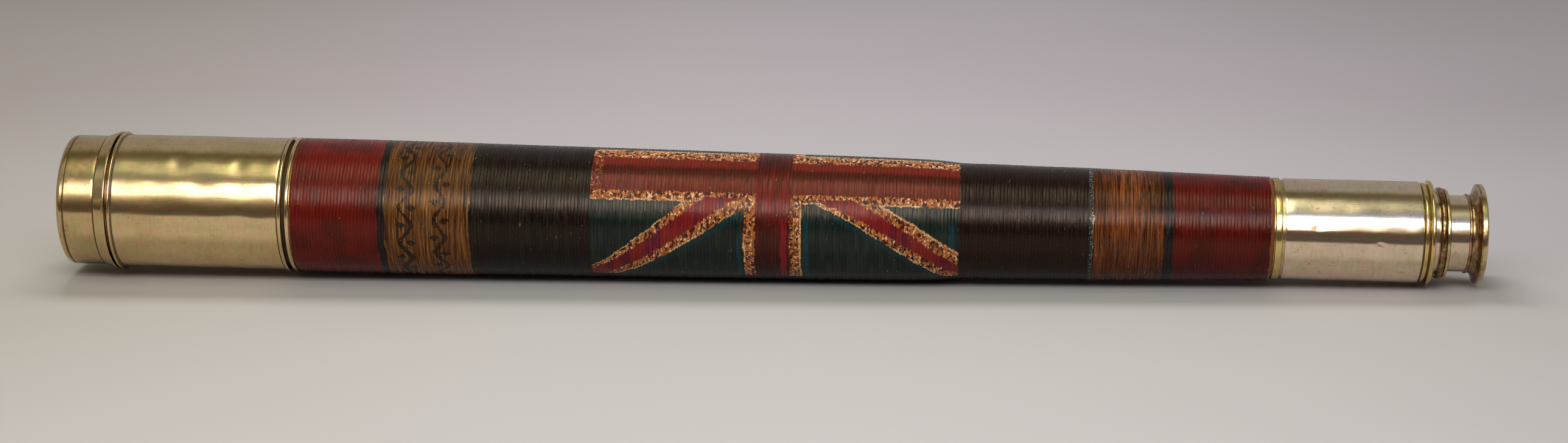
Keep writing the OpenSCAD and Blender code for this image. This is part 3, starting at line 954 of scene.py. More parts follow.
    def brown_panel(self, tree: Tree, read: TwineReading, under: Signal) -> Signal:
        """The brown panel, lighter above its underside as painted light and darker beneath as painted shade,
        its dark hairline with pale flakes, and one small lozenge.

        Args:
            tree: The tree that is being filled.
            read: The shared readings.
            under: The colour so far.

        Returns:
            The colour with the panel.
        """
        panel = self.grained(tree, read, self.chestnut, self.russet, self.bistre)
        # Painted light over the panel above its lower part, and painted shade on its underside.
        panel = tree.mix(panel, tree.tinted(panel, self.brown_painted_light_tint), read.round.rise(-32.0, -24.0))
        panel = tree.mix(panel, tree.tinted(panel, self.brown_painted_shade_tint), read.round.rise(-34.0, -48.0))
        # Darker over the panel's upper part, away from its middle stations.
        darker_top = (1.0 - read.edge.between(170.0, 186.0, 6.0)) * read.round.rise(-20.0, -12.0)
        panel = tree.mix(panel, tree.tinted(panel, self.darker_top_tint), darker_top)
        size = abs(read.edge - self.lozenge_station) + abs(read.round - self.lozenge_round)
        panel = tree.mix(panel, self.lozenge_ink, size.between(2.6, 3.6, 0.25) * 0.85)
        under = tree.mix(under, panel, read.ring(self.brown_start, self.brown_end))
        hairline = read.ring(self.brown_start - 1.4, self.brown_start + 0.2)
        under = tree.mix(under, self.hairline_teal, hairline)
        under = tree.mix(under, self.hairline_flakes, hairline * read.speck.rise(0.56, 0.63))
        chip = abs(read.edge - self.brown_start - 0.4) / 1.2 + abs(read.round + 18.0) / 3.6
        return tree.mix(under, self.chipped_paint, chip.rise(1.3, 0.7) * read.speck.rise(0.47, 0.53))

    def wear(self, tree: Tree, read: TwineReading, under: Signal) -> Signal:
        """Darker between the turns, rubbed turns, bare ends and a few nicks down to pale twine.

        Args:
            tree: The tree that is being filled.
            read: The shared readings.
            under: The colour so far.

        Returns:
            The worn colour.
        """
        worn = tree.shaded(under, 1.0 - read.ridge.rise(0.30, 0.02) * 0.35)
        rubbed = read.ridge.rise(0.70, 0.95) * read.speck.rise(0.52, 0.68)
        worn = tree.mix(worn, self.rubbed_turn, rubbed * 0.16)
        nicks = tree.noise(tree.place(along=2.4, around=0.32), 1.0, 2.0, 0.5).rise(0.735, 0.76)
        worn = tree.mix(worn, self.clean_twine, nicks * read.cloud.rise(0.47, 0.56) * 0.8)
        front = read.edge.rise(self.start + 0.6, self.start + 0.2)
        rear = read.edge.rise(self.end - 2.1, self.end - 1.6)
        return tree.mix(worn, tree.mix(self.bare_twine, self.dirty_twine, read.streak), front.most(rear))


# The finishes of this telescope

WARM_BRASS = Brass("brass_warm_polished", (0.81, 0.62, 0.34), (0.60, 0.42, 0.18), tarnish=0.62)
PALE_BRASS = Brass(
    "brass_pale_polished", (0.86, 0.71, 0.53), (0.66, 0.48, 0.31), tarnish=0.40, roughness=0.11,
)
CAP_BRASS = Brass("brass_cap_worn", (0.68, 0.50, 0.25), (0.46, 0.31, 0.12), tarnish=0.70, roughness=0.15)
GOLD_BRASS = Brass(
    "brass_yellow_turned", (0.82, 0.62, 0.24), (0.46, 0.32, 0.10), tarnish=0.60, roughness=0.16,
)
DRAWN_BRASS = Brass("brass_drawn_dull", (0.66, 0.50, 0.27), (0.42, 0.29, 0.13), tarnish=0.80, roughness=0.24)
RING_BRASS = Brass(
    "brass_end_ring_tarnished", (0.84, 0.64, 0.28), (0.20, 0.105, 0.045), tarnish=0.60, roughness=0.15,
    dull_start=329.0, dull_end=333.0,
)
# The eyecup's bead and flare are darkened all over: mottled tarnish and a painted dark reflection.
CUP_BRASS = Brass(
    "brass_eyecup_tarnish_and_painted_reflection", (0.84, 0.66, 0.30), (0.30, 0.17, 0.08), tarnish=0.75, roughness=0.17,
    dull_start=343.0, dull_end=349.9,
)
# Dark old polish that also paints the shade in grooves and in gaps between parts.
GROOVE_POLISH_AND_SHADE = OldPolishAndShade()
BLACKED = Blackened()
GLASS = LensGlass()
TIN = Foil()
FELT = Nap("green_felt_band", (0.012, 0.030, 0.016), (0.045, 0.085, 0.050))
SUEDE = Nap("suede_lining", (0.060, 0.026, 0.012), (0.160, 0.075, 0.036))


# Turned pieces

LONGEST = 40.0
ON_AXIS = 1e-6
SAME_POINT = 2e-6  # metres
EASE_STEPS = 5
EASE_REACH = 0.48


@dataclass(frozen=True)
class Span:
    """How far a CAD node reaches along the axis and away from it, in millimetres."""

    start: float
    end: float
    radius: float

    @classmethod
    def of(cls, node: str) -> "Span":
        """Measures a node at rest."""
        low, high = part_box(node)
        return cls(low.x / MM, high.x / MM, high.z / MM)


class Outline:
    """A closed outline of stations and radii, drawn point by point and then spun about the axis."""

    def __init__(self) -> None:
        """Starts with no points."""
        self.corners: list[tuple[float, float, float]] = []
        self.polish_and_shade: set[int] = set()

    def to(self, station: float, radius: float, ease: float = 0.0, polish_and_shade: bool = False) -> "Outline":
        """Adds a corner.

        Args:
            station: Its place along the axis.
            radius: Its distance from the axis.
            ease: How far from the corner its rounding starts.
            polish_and_shade: Whether the stretch after it is painted dark, with old polish and painted shade.

        Returns:
            This outline.
        """
        if polish_and_shade:
            self.polish_and_shade.add(len(self.corners))
        self.corners.append((station, radius, ease))
        return self

    def bead(self, start: float, end: float, radius: float, height: float, steps: int = 14) -> "Outline":
        """Adds a half-round moulding that stands on a given radius.

        Args:
            start: Where it starts along the axis.
            end: Where it ends.
            radius: The radius that it stands on.
            height: How far it stands out.
            steps: Stretches in its round.

        Returns:
            This outline.
        """
        for step in range(steps + 1):
            turn = math.pi * step / steps
            self.to((start + end) / 2 - (end - start) / 2 * math.cos(turn), radius + height * math.sin(turn))
        return self

    def sweep(
        self, start: tuple[float, float], end: tuple[float, float], level_first: bool = True, steps: int = 12
    ) -> "Outline":
        """Adds a quarter of an ellipse between two points.

        Args:
            start: Station and radius of its start.
            end: Station and radius of its end.
            level_first: Whether it leaves the start along the axis.
            steps: Stretches in its round.

        Returns:
            This outline.
        """
        for step in range(steps + 1):
            turn = math.pi / 2 * step / steps
            first, second = math.sin(turn), 1 - math.cos(turn)
            share_along, share_out = (first, second) if level_first else (second, first)
            self.to(start[0] + (end[0] - start[0]) * share_along, start[1] + (end[1] - start[1]) * share_out)
        return self

    def drawn(self, longest: float) -> tuple[np.ndarray, list[bool]]:
        """The finished outline with its corners rounded and its long stretches cut up.

        Args:
            longest: Longest stretch that stays whole.

        Returns:
            The points in order, and for each whether the stretch after it takes the dark old polish and painted
            shade.
        """
        rounded: list[tuple[np.ndarray, bool]] = []
        count = len(self.corners)
        for index, (station, radius, ease) in enumerate(self.corners):
            here = np.array((station, radius))
            polish_and_shade = index in self.polish_and_shade
            if ease == 0:
                rounded.append((here, polish_and_shade))
                continue
            before = np.array(self.corners[index - 1][:2]) - here
            after = np.array(self.corners[(index + 1) % count][:2]) - here
            back = min(ease, np.linalg.norm(before) * EASE_REACH)
            on = min(ease, np.linalg.norm(after) * EASE_REACH)
            first = here + before / np.linalg.norm(before) * back
            last = here + after / np.linalg.norm(after) * on
            for step in range(EASE_STEPS + 1):
                share = step / EASE_STEPS
                point = first * (1 - share) ** 2 + here * 2 * share * (1 - share) + last * share**2
                rounded.append((point, polish_and_shade and step == EASE_STEPS))
        points: list[np.ndarray] = []
        marks: list[bool] = []
        for index, (here, polish_and_shade) in enumerate(rounded):
            after = rounded[(index + 1) % len(rounded)][0]
            pieces = max(1, math.ceil(np.linalg.norm(after - here) / longest))
            for piece in range(pieces):
                points.append(here + (after - here) * piece / pieces)
                marks.append(polish_and_shade)
        return np.array(points), marks


@dataclass(frozen=True)
class Dent:
    """A knock in a thin tube: its place, its depth and how far it spreads each way.

    The angle is in degrees round the axis, from the near side upwards, and the rest is in millimetres.
    """

    station: float
    angle: float
    depth: float
    along: float
    around: float


@dataclass(frozen=True)
class Knocks:
    """The slight waves and the dents of a hand-polished tube, which fade out towards its two true ends."""

    seed: int
    wave: float
    dents: tuple[Dent, ...] = ()
    waves: int = 9
    true_end: float = 4.0

    def relief(self, span: Span) -> Relief:
        """A function that gives how far the surface moves outwards.

        Args:
            span: The tube, which stays true at its two ends.

        Returns:
            The function of stations in millimetres and angles in radians.
        """
        chance = random.Random(self.seed)
        waves = [
            (
                chance.uniform(0.10, 0.42), chance.randint(2, 9),
                chance.uniform(0, 6.28), chance.uniform(0, 6.28),
            )
            for _ in range(self.waves)
        ]

        def moved(stations: np.ndarray, angles: np.ndarray) -> np.ndarray:
            """How far the surface moves outwards at each place."""
            out = np.zeros(np.broadcast(stations, angles).shape)
            for along, around, lag, turn in waves:
                lift = np.sin(stations * along + lag) * np.sin(angles * around + turn)
                out = out + self.wave / self.waves * lift * 2
            for dent in self.dents:
                off = np.angle(np.exp(1j * (angles - math.radians(dent.angle)))) * span.radius
                reach = ((stations - dent.station) / dent.along) ** 2 + (off / dent.around) ** 2
                out = out - dent.depth * np.exp(-reach)
            margin = np.minimum(stations - span.start, span.end - stations)
            return out * np.clip(margin / self.true_end, 0, 1)

        return moved


def ring_points(stations: np.ndarray, radii: np.ndarray, angles: np.ndarray) -> np.ndarray:
    """Points round the axis in metres.

    Args:
        stations: Places along the axis in millimetres.
        radii: Distances from it in millimetres.
        angles: Angles round it in radians, from the near side upwards.

    Returns:
        One row of three coordinates per point.
    """
    stations, radii, angles = np.broadcast_arrays(stations, radii, angles)
    points = np.stack((stations, -radii * np.cos(angles), radii * np.sin(angles)), axis=-1)
    return points.reshape(-1, 3) * MM


def mesh_object(name: str, points: np.ndarray, faces: Sequence[Sequence[int]]) -> bpy.types.Object:
    """Makes an object with a mesh.

    Args:
        name: Name of the object and its mesh.
        points: Vertices in metres.
        faces: Vertex numbers of each face.

    Returns:
        The object, linked to the scene.
    """
    mesh = bpy.data.meshes.new(name)
    mesh.from_pydata(points.tolist(), [], faces)
    mesh.update()
    made = bpy.data.objects.new(name, mesh)
    bpy.context.scene.collection.objects.link(made)
    return made


def soften(piece: bpy.types.Object, sharp_angle: float = 32.0) -> None:
    """Shades a mesh smooth, except where its faces meet at more than an angle in degrees."""
    piece.data.shade_smooth()
    piece.data.set_sharp_from_angle(angle=math.radians(sharp_angle))


def weld(piece: bpy.types.Object) -> None:
    """Merges points that lie together, drops loose ones and turns every face outwards."""
    work = bmesh.new()
    work.from_mesh(piece.data)
    bmesh.ops.remove_doubles(work, verts=work.verts, dist=SAME_POINT)
    bmesh.ops.delete(work, geom=[v for v in work.verts if not v.link_faces], context="VERTS")
    bmesh.ops.recalc_face_normals(work, faces=work.faces)
    work.to_mesh(piece.data)
    work.free()


def fit(piece: bpy.types.Object, body: Body, slot: Slot, *nodes: str) -> None:
    """Puts a new piece on its body, in place of the CAD nodes that it stands for.

    Args:
        piece: The new piece, in place.
        body: The body that it moves with.
        slot: The record's material slot; not used.
        *nodes: The CAD nodes that it replaces.
    """
    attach(piece, body.value)
    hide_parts(*nodes)
    log.info("%s: %d faces on %s", piece.name, len(piece.data.polygons), body.value)


def dress(finish: Finish, *nodes: str) -> None:
    """Gives CAD nodes a finish, and leaves their shape as it is.

    Args:
        finish: The finish.
        *nodes: The nodes.
    """
    for node in nodes:
        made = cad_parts[node]
        made.data.materials.clear()
        made.data.materials.append(finish.material())
        log.info("%s keeps its CAD mesh in %s", node, finish.title)


def spun(
    name: str, outline: Outline, finish: Finish, longest: float, segments: int, relief: Relief | None
) -> bpy.types.Object:
    """Spins a closed outline about the axis.

    Args:
        name: Name of the piece.
        outline: Its outline.
        finish: Its finish. Dark old polish, which also paints the shade of grooves and gaps, fills the
            outline's marked stretches.
        longest: Longest stretch of the outline that stays whole.
        segments: Sides of the round.
        relief: How far the surface moves outwards at each place, if it isn't true.

    Returns:
        The piece.
    """
    line, polish_and_shade = outline.drawn(longest)
    angles = np.arange(segments) * 2 * math.pi / segments
    following = np.roll(line, -1, axis=0)
    area = float(np.sum(line[:, 0] * following[:, 1] - following[:, 0] * line[:, 1]))
    points: list[np.ndarray] = []
    rings: list[list[int]] = []
    for station, radius in line:
        on_axis = radius < ON_AXIS
        use = angles[:1] if on_axis else angles
        first = sum(len(block) for block in points)
        shift = relief(np.full(len(use), station), use) if relief and not on_axis else 0.0
        points.append(ring_points(station, radius + shift, use))
        rings.append([first] * segments if on_axis else list(range(first, first + segments)))
    faces: list[list[int]] = []
    marks: list[int] = []
    for index, ring in enumerate(rings):
        after = rings[(index + 1) % len(rings)]
        if ring[0] == ring[-1] and after[0] == after[-1]:
            continue
        for j in range(segments):
            k = (j + 1) % segments
            corners = list(dict.fromkeys((ring[j], after[j], after[k], ring[k])))
            faces.append(corners if area < 0 else corners[::-1])
            marks.append(1 if polish_and_shade[index] else 0)
    piece = mesh_object(name, np.concatenate(points), faces)
    piece.data.materials.append(finish.material())
    piece.data.materials.append(GROOVE_POLISH_AND_SHADE.material())
    piece.data.polygons.foreach_set("material_index", marks)
    soften(piece)
    return piece


def turned(
    name: str,
    node: str,
    body: Body,
    slot: Slot,
    outline: Outline,
    finish: Finish,
    longest: float = LONGEST,
    segments: int = 192,
    relief: Relief | None = None,
) -> None:
    """Spins a piece about the axis and puts it in place of its CAD node.

    Args:
        name: Name of the piece.
        node: The CAD node that it replaces.
        body: The body that it moves with.
        slot: The record's material slot.
        outline: Its outline.
        finish: Its finish.
        longest: Longest stretch of the outline that stays whole.
        segments: Sides of the round.
        relief: How far the surface moves outwards at each place, if it isn't true.
    """
    fit(spun(name, outline, finish, longest, segments, relief), body, slot, node)


def tube_outline(span: Span, bore: float, front: float, back: float, mouth: float = 0.0) -> Outline:
    """Outline of a plain tube.

    Args:
        span: Its reach and its outer radius.
        bore: Its inner radius.
        front: Easing of its outer front edge.
        back: Easing of its outer back edge.
        mouth: Easing of its inner front edge.

    Returns:
        The outline.
    """
    outline = Outline().to(span.start, bore, mouth).to(span.start, span.radius, front)
    return outline.to(span.end, span.radius, back).to(span.end, bore)


# Sub-assemblies


@dataclass
class LensCap:
    """The push-on cap: an eased face edge, a scribed groove and a flaring grip collar with a round lip."""

    wall: float = 0.9
    edge_length: float = 2.4
    edge_drop: float = 3.6
    groove_at: float = 3.5
    groove_width: float = 0.75
    groove_depth: float = 0.45
    gap_width: float = 0.65
    gap_depth: float = 0.35
    collar_length: float = 5.9
    collar_step: float = 0.55
    lip: float = 1.3
    floor: float = 1.2

    def build(self) -> None:
        """Makes the shell and dresses the lining."""
        span = Span.of("lens_cap_shell")
        bore = Span.of("lens_cap_lining").radius
        wall = bore + self.wall
        collar = span.end - self.collar_length
        groove = span.start + self.groove_at
        outline = Outline()
        outline.to(span.start, 0.0).to(span.start, wall - self.edge_drop - 2.2, 0.3)
        outline.to(span.start + 0.25, wall - self.edge_drop - 0.9, 0.3)
        outline.sweep(
            (span.start + 0.05, wall - self.edge_drop), (span.start + self.edge_length, wall - 0.1), False
        )
        outline.to(groove - 0.1, wall, 0.1).to(groove, wall - self.groove_depth, 0.1, polish_and_shade=True)
        outline.to(groove + self.groove_width, wall - self.groove_depth, 0.1)
        outline.to(groove + self.groove_width + 0.1, wall, 0.1)
        gap = collar - self.gap_width
        outline.to(gap - 0.1, wall, 0.1).to(gap, wall - self.gap_depth, 0.05, polish_and_shade=True)
        outline.to(collar, wall - self.gap_depth, 0.05).to(collar + 0.1, wall + self.collar_step, 0.15)
        outline.to(span.end - self.lip, span.radius - 0.4, 0.15).to(span.end - 0.85, span.radius, 0.3)
        outline.to(span.end - 0.3, span.radius, 0.25).to(span.end, span.radius - 0.45, 0.2)
        outline.to(span.end, bore + 0.3, 0.1).to(span.end - 0.3, bore)
        outline.to(span.start + self.floor, bore, 0.4).to(span.start + self.floor, 0.0)
        relief = Knocks(seed=3, wave=0.035).relief(span)
        turned(
            "lens_cap_turned", "lens_cap_shell", Body.CAP, Slot.POLISHED, outline, CAP_BRASS,
            longest=1.6, relief=relief,
        )
        dress(SUEDE, "lens_cap_lining")


@dataclass
class Sunshade:
    """The sliding sunshade: a knocked thin tube between a beaded front ring and a rear ring."""

    wall: float = 0.8
    bead_width: float = 1.35
    bead_height: float = 0.6
    rear_width: float = 2.25
    guide_width: float = 2.4
    guide_gap: float = 0.05

    def build(self) -> None:
        """Makes the tube and its two rings, and dresses the felt band."""
        tube = Span.of("sunshade_tube")
        front = Span.of("sunshade_front_ring")
        rear = Span.of("sunshade_rear_ring")
        self.tube(tube)
        self.front_ring(front, tube)
        self.rear_ring(rear, tube, Span.of("objective_cell").radius + self.guide_gap)
        dress(FELT, "sunshade_felt_band")

    def tube(self, span: Span) -> None:
        """Makes the tube with its dents."""
        outline = tube_outline(span, span.radius - self.wall, front=0.2, back=0.15)
        dents = (
            Dent(-291.2, 52.0, 0.30, 4.5, 6.0),
            Dent(-260.7, 50.0, 0.26, 4.0, 5.0),
            Dent(-276.2, 35.0, 0.10, 9.0, 3.0),
            Dent(-300.2, 12.0, 0.10, 7.0, 3.5),
            Dent(-270.2, -4.0, 0.12, 5.0, 2.5),
            Dent(-254.2, -30.0, 0.14, 6.0, 6.0),
            Dent(-278.2, 170.0, 0.20, 8.0, 7.0),
        )
        relief = Knocks(seed=11, wave=0.11, dents=dents).relief(span)
        turned(
            "sunshade_tube_drawn", "sunshade_tube", Body.SUNSHADE, Slot.POLISHED, outline, WARM_BRASS,
            longest=1.2, segments=240, relief=relief,
        )

    def front_ring(self, span: Span, tube: Span) -> None:
        """Makes the beaded ring at the shade's mouth."""
        bead_end = span.start + self.bead_width
        outline = Outline()
        outline.to(span.start, tube.radius)
        outline.bead(span.start, bead_end, span.radius - self.bead_height, self.bead_height)
        outline.to(bead_end + 0.05, tube.radius + 0.45, 0.1, polish_and_shade=True)
        outline.to(span.end, tube.radius + 0.3, 0.15, polish_and_shade=True).to(span.end, tube.radius)
        turned(
            "sunshade_mouth_ring", "sunshade_front_ring", Body.SUNSHADE, Slot.POLISHED, outline, WARM_BRASS,
        )

    def rear_ring(self, span: Span, tube: Span, guide: float) -> None:
        """Makes the rear ring, whose inner edge guides the shade on its sleeve."""
        step = span.end - self.rear_width
        bore = tube.radius - self.wall
        outline = Outline()
        outline.to(step - self.guide_width, guide).to(step - self.guide_width, bore).to(step, bore)
        outline.to(step, tube.radius - 0.25, 0.1, polish_and_shade=True).to(step + 0.45, tube.radius - 0.1)
        outline.bead(step + 0.5, span.end, tube.radius, span.radius - tube.radius)
        outline.to(span.end, guide + 0.2, 0.1).to(span.end - 0.2, guide)
        turned(
            "sunshade_rear_ring_turned", "sunshade_rear_ring", Body.SUNSHADE, Slot.POLISHED, outline,
            WARM_BRASS,
        )


@dataclass
class ObjectiveEnd:
    """The objective cell with its lenses, the sleeve behind it and the bright ferrule."""

    wall: float = 0.9
    chamfer: float = 0.5
    polish_and_shade_gap: float = 2.2
    seat_lip: float = 1.22
    seat_cover: float = 1.2
    crown_front_curve: float = 300.0
    crown_rear_curve: float = 220.0
    lens_steps: int = 14

    def build(self) -> None:
        """Makes what shows once the cap or the shade is moved, and dresses the rest."""
        self.cell()
        self.crown_lens()
        self.sleeve()
        self.ferrule()
        dress(GLASS, "objective_flint_lens")
        dress(TIN, "objective_spacer")
        dress(BLACKED, "objective_retaining_ring")

    def cell(self) -> None:
        """Makes the cell, with two fine beads round its mouth."""
        span = Span.of("objective_cell")
        lens = Span.of("objective_flint_lens").radius
        seat = Span.of("objective_crown_lens").start + self.seat_lip
        aperture = lens - self.seat_cover
        sleeve = Span.of("front_sleeve")
        bore = sleeve.radius - self.wall
        outline = Outline()
        outline.to(span.start, aperture, 0.15).to(span.start, span.radius - 2.2, 0.1)
        outline.to(span.start + 0.35, span.radius - 1.9, 0.1, polish_and_shade=True)
        outline.to(span.start + 0.1, span.radius - 1.5, 0.1).to(span.start + 0.1, span.radius - 0.8, 0.2)
        outline.to(span.start + 0.8, span.radius, 0.2)
        outline.to(sleeve.start, span.radius, 0.1).to(sleeve.start, bore, 0.1)
        outline.to(span.end, bore).to(span.end, lens).to(seat, lens).to(seat, aperture)
        turned("objective_cell_turned", "objective_cell", Body.BARREL, Slot.DRAWN, outline, DRAWN_BRASS)

    def crown_lens(self) -> None:
        """Makes the front lens with truly round faces."""
        span = Span.of("objective_crown_lens")
        edge = span.radius
        front_rise = self.crown_front_curve - math.sqrt(self.crown_front_curve**2 - edge**2)
        rear_rise = self.crown_rear_curve - math.sqrt(self.crown_rear_curve**2 - edge**2)
        shares = [step / self.lens_steps for step in range(self.lens_steps + 1)]
        outline = Outline()
        for share in shares:
            outline.to(span.start + front_rise * share**2, edge * share)
        for share in reversed(shares):
            outline.to(span.end - rear_rise * share**2, edge * share)
        turned(
            "objective_front_lens_polished", "objective_crown_lens", Body.BARREL, Slot.GLASS, outline, GLASS,
            segments=128,
        )

    def sleeve(self) -> None:
        """Makes the sleeve on which the shade slides."""
        span = Span.of("front_sleeve")
        bore = span.radius - self.wall
        ferrule = Span.of("front_ferrule").start
        outline = Outline().to(span.start, bore).to(span.start, span.radius, 0.15)
        # The sleeve's stretch in the gap before the ferrule takes dark polish that also paints the shade of
        # that gap.
        outline.to(ferrule - self.polish_and_shade_gap, span.radius, 0.05, polish_and_shade=True).to(ferrule, span.radius)
        outline.to(span.end, span.radius, 0.15).to(span.end, bore)
        turned(
            "front_sleeve_drawn", "front_sleeve", Body.BARREL, Slot.DRAWN, outline, DRAWN_BRASS, segments=240,
        )

    def ferrule(self) -> None:
        """Makes the bright flange in front of the binding."""
        span = Span.of("front_ferrule")
        bore = Span.of("front_sleeve").radius
        outline = Outline().to(span.start, bore, 0.05, polish_and_shade=True).to(span.start, span.radius - 0.9, 0.1)
        outline.to(span.start + self.chamfer, span.radius - 0.15, 0.25)
        outline.to(span.end - self.chamfer, span.radius, 0.25)
        outline.to(span.end, span.radius - self.chamfer, 0.1).to(span.end, bore)
        turned("front_ferrule_turned", "front_ferrule", Body.BARREL, Slot.POLISHED, outline, WARM_BRASS)


@dataclass
class BoundBarrel:
    """The tapered barrel tube and the twine that is wound round it from end to end and painted.

    Each turn stands up by the ridge, which swells and sinks along the thread, and lies higher or lower by the
    lay. Knots are changes of each per turn. Sizes are in millimetres.
    """

    paint: PaintedTwine
    ridge: float = 0.12
    ridge_foot: float = 0.6
    swell: float = 0.25
    swell_knots: int = 24
    lay: float = 0.09
    lay_knots: int = 9
    least_sink: float = 0.45
    sink_turns: int = 11
    sink_knots: int = 5
    sharp_angle: float = 50.0
    segments: int = 80
    samples: int = 4
    shoulder: float = 2.5
    lining_rows: int = 40
    seed: int = 7
    true_end: float = 0.3
    no_width: float = 1e-7
    same_station: float = 0.02
    neighbours: float = 14.0
    binding_step: float = 1.15
    tube_step: float = 0.9

    def build(self) -> None:
        """Winds the binding and dresses the tube and its stops."""
        dress(DRAWN_BRASS, "barrel_tube")
        dress(BLACKED, "barrel_stop_front", "barrel_stop_rear")
        self.wind()

    def envelope(self, node: str, depth: float) -> tuple[np.ndarray, np.ndarray]:
        """The outside of a turned CAD node.

        Args:
            node: The node.
            depth: Points that lie this much under their neighbours belong to its inside.

        Returns:
            Stations and radii in millimetres.
        """
        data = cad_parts[node].data
        flat = np.zeros(len(data.vertices) * 3)
        data.vertices.foreach_get("co", flat)
        points = flat.reshape(-1, 3) / MM
        radii = np.hypot(points[:, 1], points[:, 2])
        stations = np.unique(np.round(points[:, 0], 2))
        largest = np.array([radii[np.abs(points[:, 0] - s) < self.same_station].max() for s in stations])
        near = [largest[np.abs(stations - s) < self.neighbours].max() for s in stations]
        keep = largest > np.array(near) - depth
        return stations[keep], largest[keep]

    def wind(self) -> None:
        """Winds one long helix of twine, closed by a plain inside and two flat ends."""
        span = Span.of("binding")
        outside = self.envelope("binding", self.binding_step)
        inside = self.envelope("barrel_tube", self.tube_step)
        pitch = self.paint.pitch
        rows = math.ceil((span.end - span.start) / pitch * self.samples) + self.samples + 1
        row = np.arange(rows)[:, None]
        column = np.arange(self.segments)[None, :]
        turn = column / self.segments
        stations = span.start + pitch * (row / self.samples + turn - 1)
        stations = np.clip(stations, span.start, span.end)
        wound = row // self.samples + turn
        phase = (row % self.samples) / self.samples
        chance = np.random.default_rng(self.seed)
        swell = self.along_thread(chance, wound, self.swell_knots)
        shift = self.along_thread(chance, wound, self.lay_knots)
        sink = self.along_thread(chance, wound / self.sink_turns, self.sink_knots)
        sink = self.least_sink + (1 - self.least_sink) * sink
        crown = 1 - (2 * phase - 1) ** 2 - self.ridge_foot
        height = self.ridge * crown * (sink + self.swell * swell) + self.lay * (shift - 0.5)
        margin = np.minimum(stations - span.start, span.end - stations) - self.true_end
        radii = np.interp(stations, *outside) + height * np.clip(margin / self.shoulder, 0, 1)
        points = ring_points(stations, radii, turn * 2 * math.pi)
        self.finish_mesh(points, rows, span, inside)

    @staticmethod
    def along_thread(chance: np.random.Generator, wound: np.ndarray, knots: int) -> np.ndarray:
        """Smooth chance from 0 to 1 along the thread.

        Args:
            chance: Where the random numbers come from.
            wound: Turns of thread laid down at each point.
            knots: Changes per turn.

        Returns:
            The values.
        """
        place = wound * knots
        values = chance.random(int(place.max()) + 3)
        low = np.floor(place).astype(int)
        share = place - low
        share = share * share * (3 - 2 * share)
        return values[low] * (1 - share) + values[low + 1] * share

    def finish_mesh(
        self, points: np.ndarray, rows: int, span: Span, inside: tuple[np.ndarray, np.ndarray]
    ) -> None:
        """Joins the helix's rows, closes the sleeve and drops what the ends cut away.

        Args:
            points: The helix's points, row by row.
            rows: How many rows there are.
            span: The binding's reach.
            inside: Stations and radii of the tube below.
        """
        count = self.segments
        faces: list[list[int]] = []
        for row in range(rows - 1):
            base = row * count
            for j in range(count):
                if j < count - 1:
                    corners = [base + j, base + count + j, base + count + j + 1, base + j + 1]
                elif row + self.samples + 1 < rows:
                    wrap = base + self.samples * count
                    corners = [base + j, base + count + j, wrap + count, wrap]
                else:
                    continue
                along = points[corners, 0]
                if along.max() - along.min() > self.no_width:
                    faces.append(corners)
        angles = np.arange(count) * 2 * math.pi / count
        stations = np.linspace(span.end, span.start, self.lining_rows)
        lining = [ring_points(s, np.interp(s, *inside), angles) for s in stations]
        outer = np.interp((span.end, span.start), *self.envelope("binding", self.binding_step))
        lining.insert(0, ring_points(span.end, outer[0], angles))
        lining.append(ring_points(span.start, outer[1], angles))
        first = len(points)
        for index in range(len(lining) - 1):
            base = first + index * count
            for j in range(count):
                k = (j + 1) % count
                faces.append([base + j, base + count + j, base + count + k, base + k])
        piece = mesh_object("binding_wound", np.concatenate([points, *lining]), faces)
        weld(piece)
        piece.data.materials.append(self.paint.material())
        soften(piece, self.sharp_angle)
        fit(piece, Body.BARREL, Slot.TWINE, "binding")


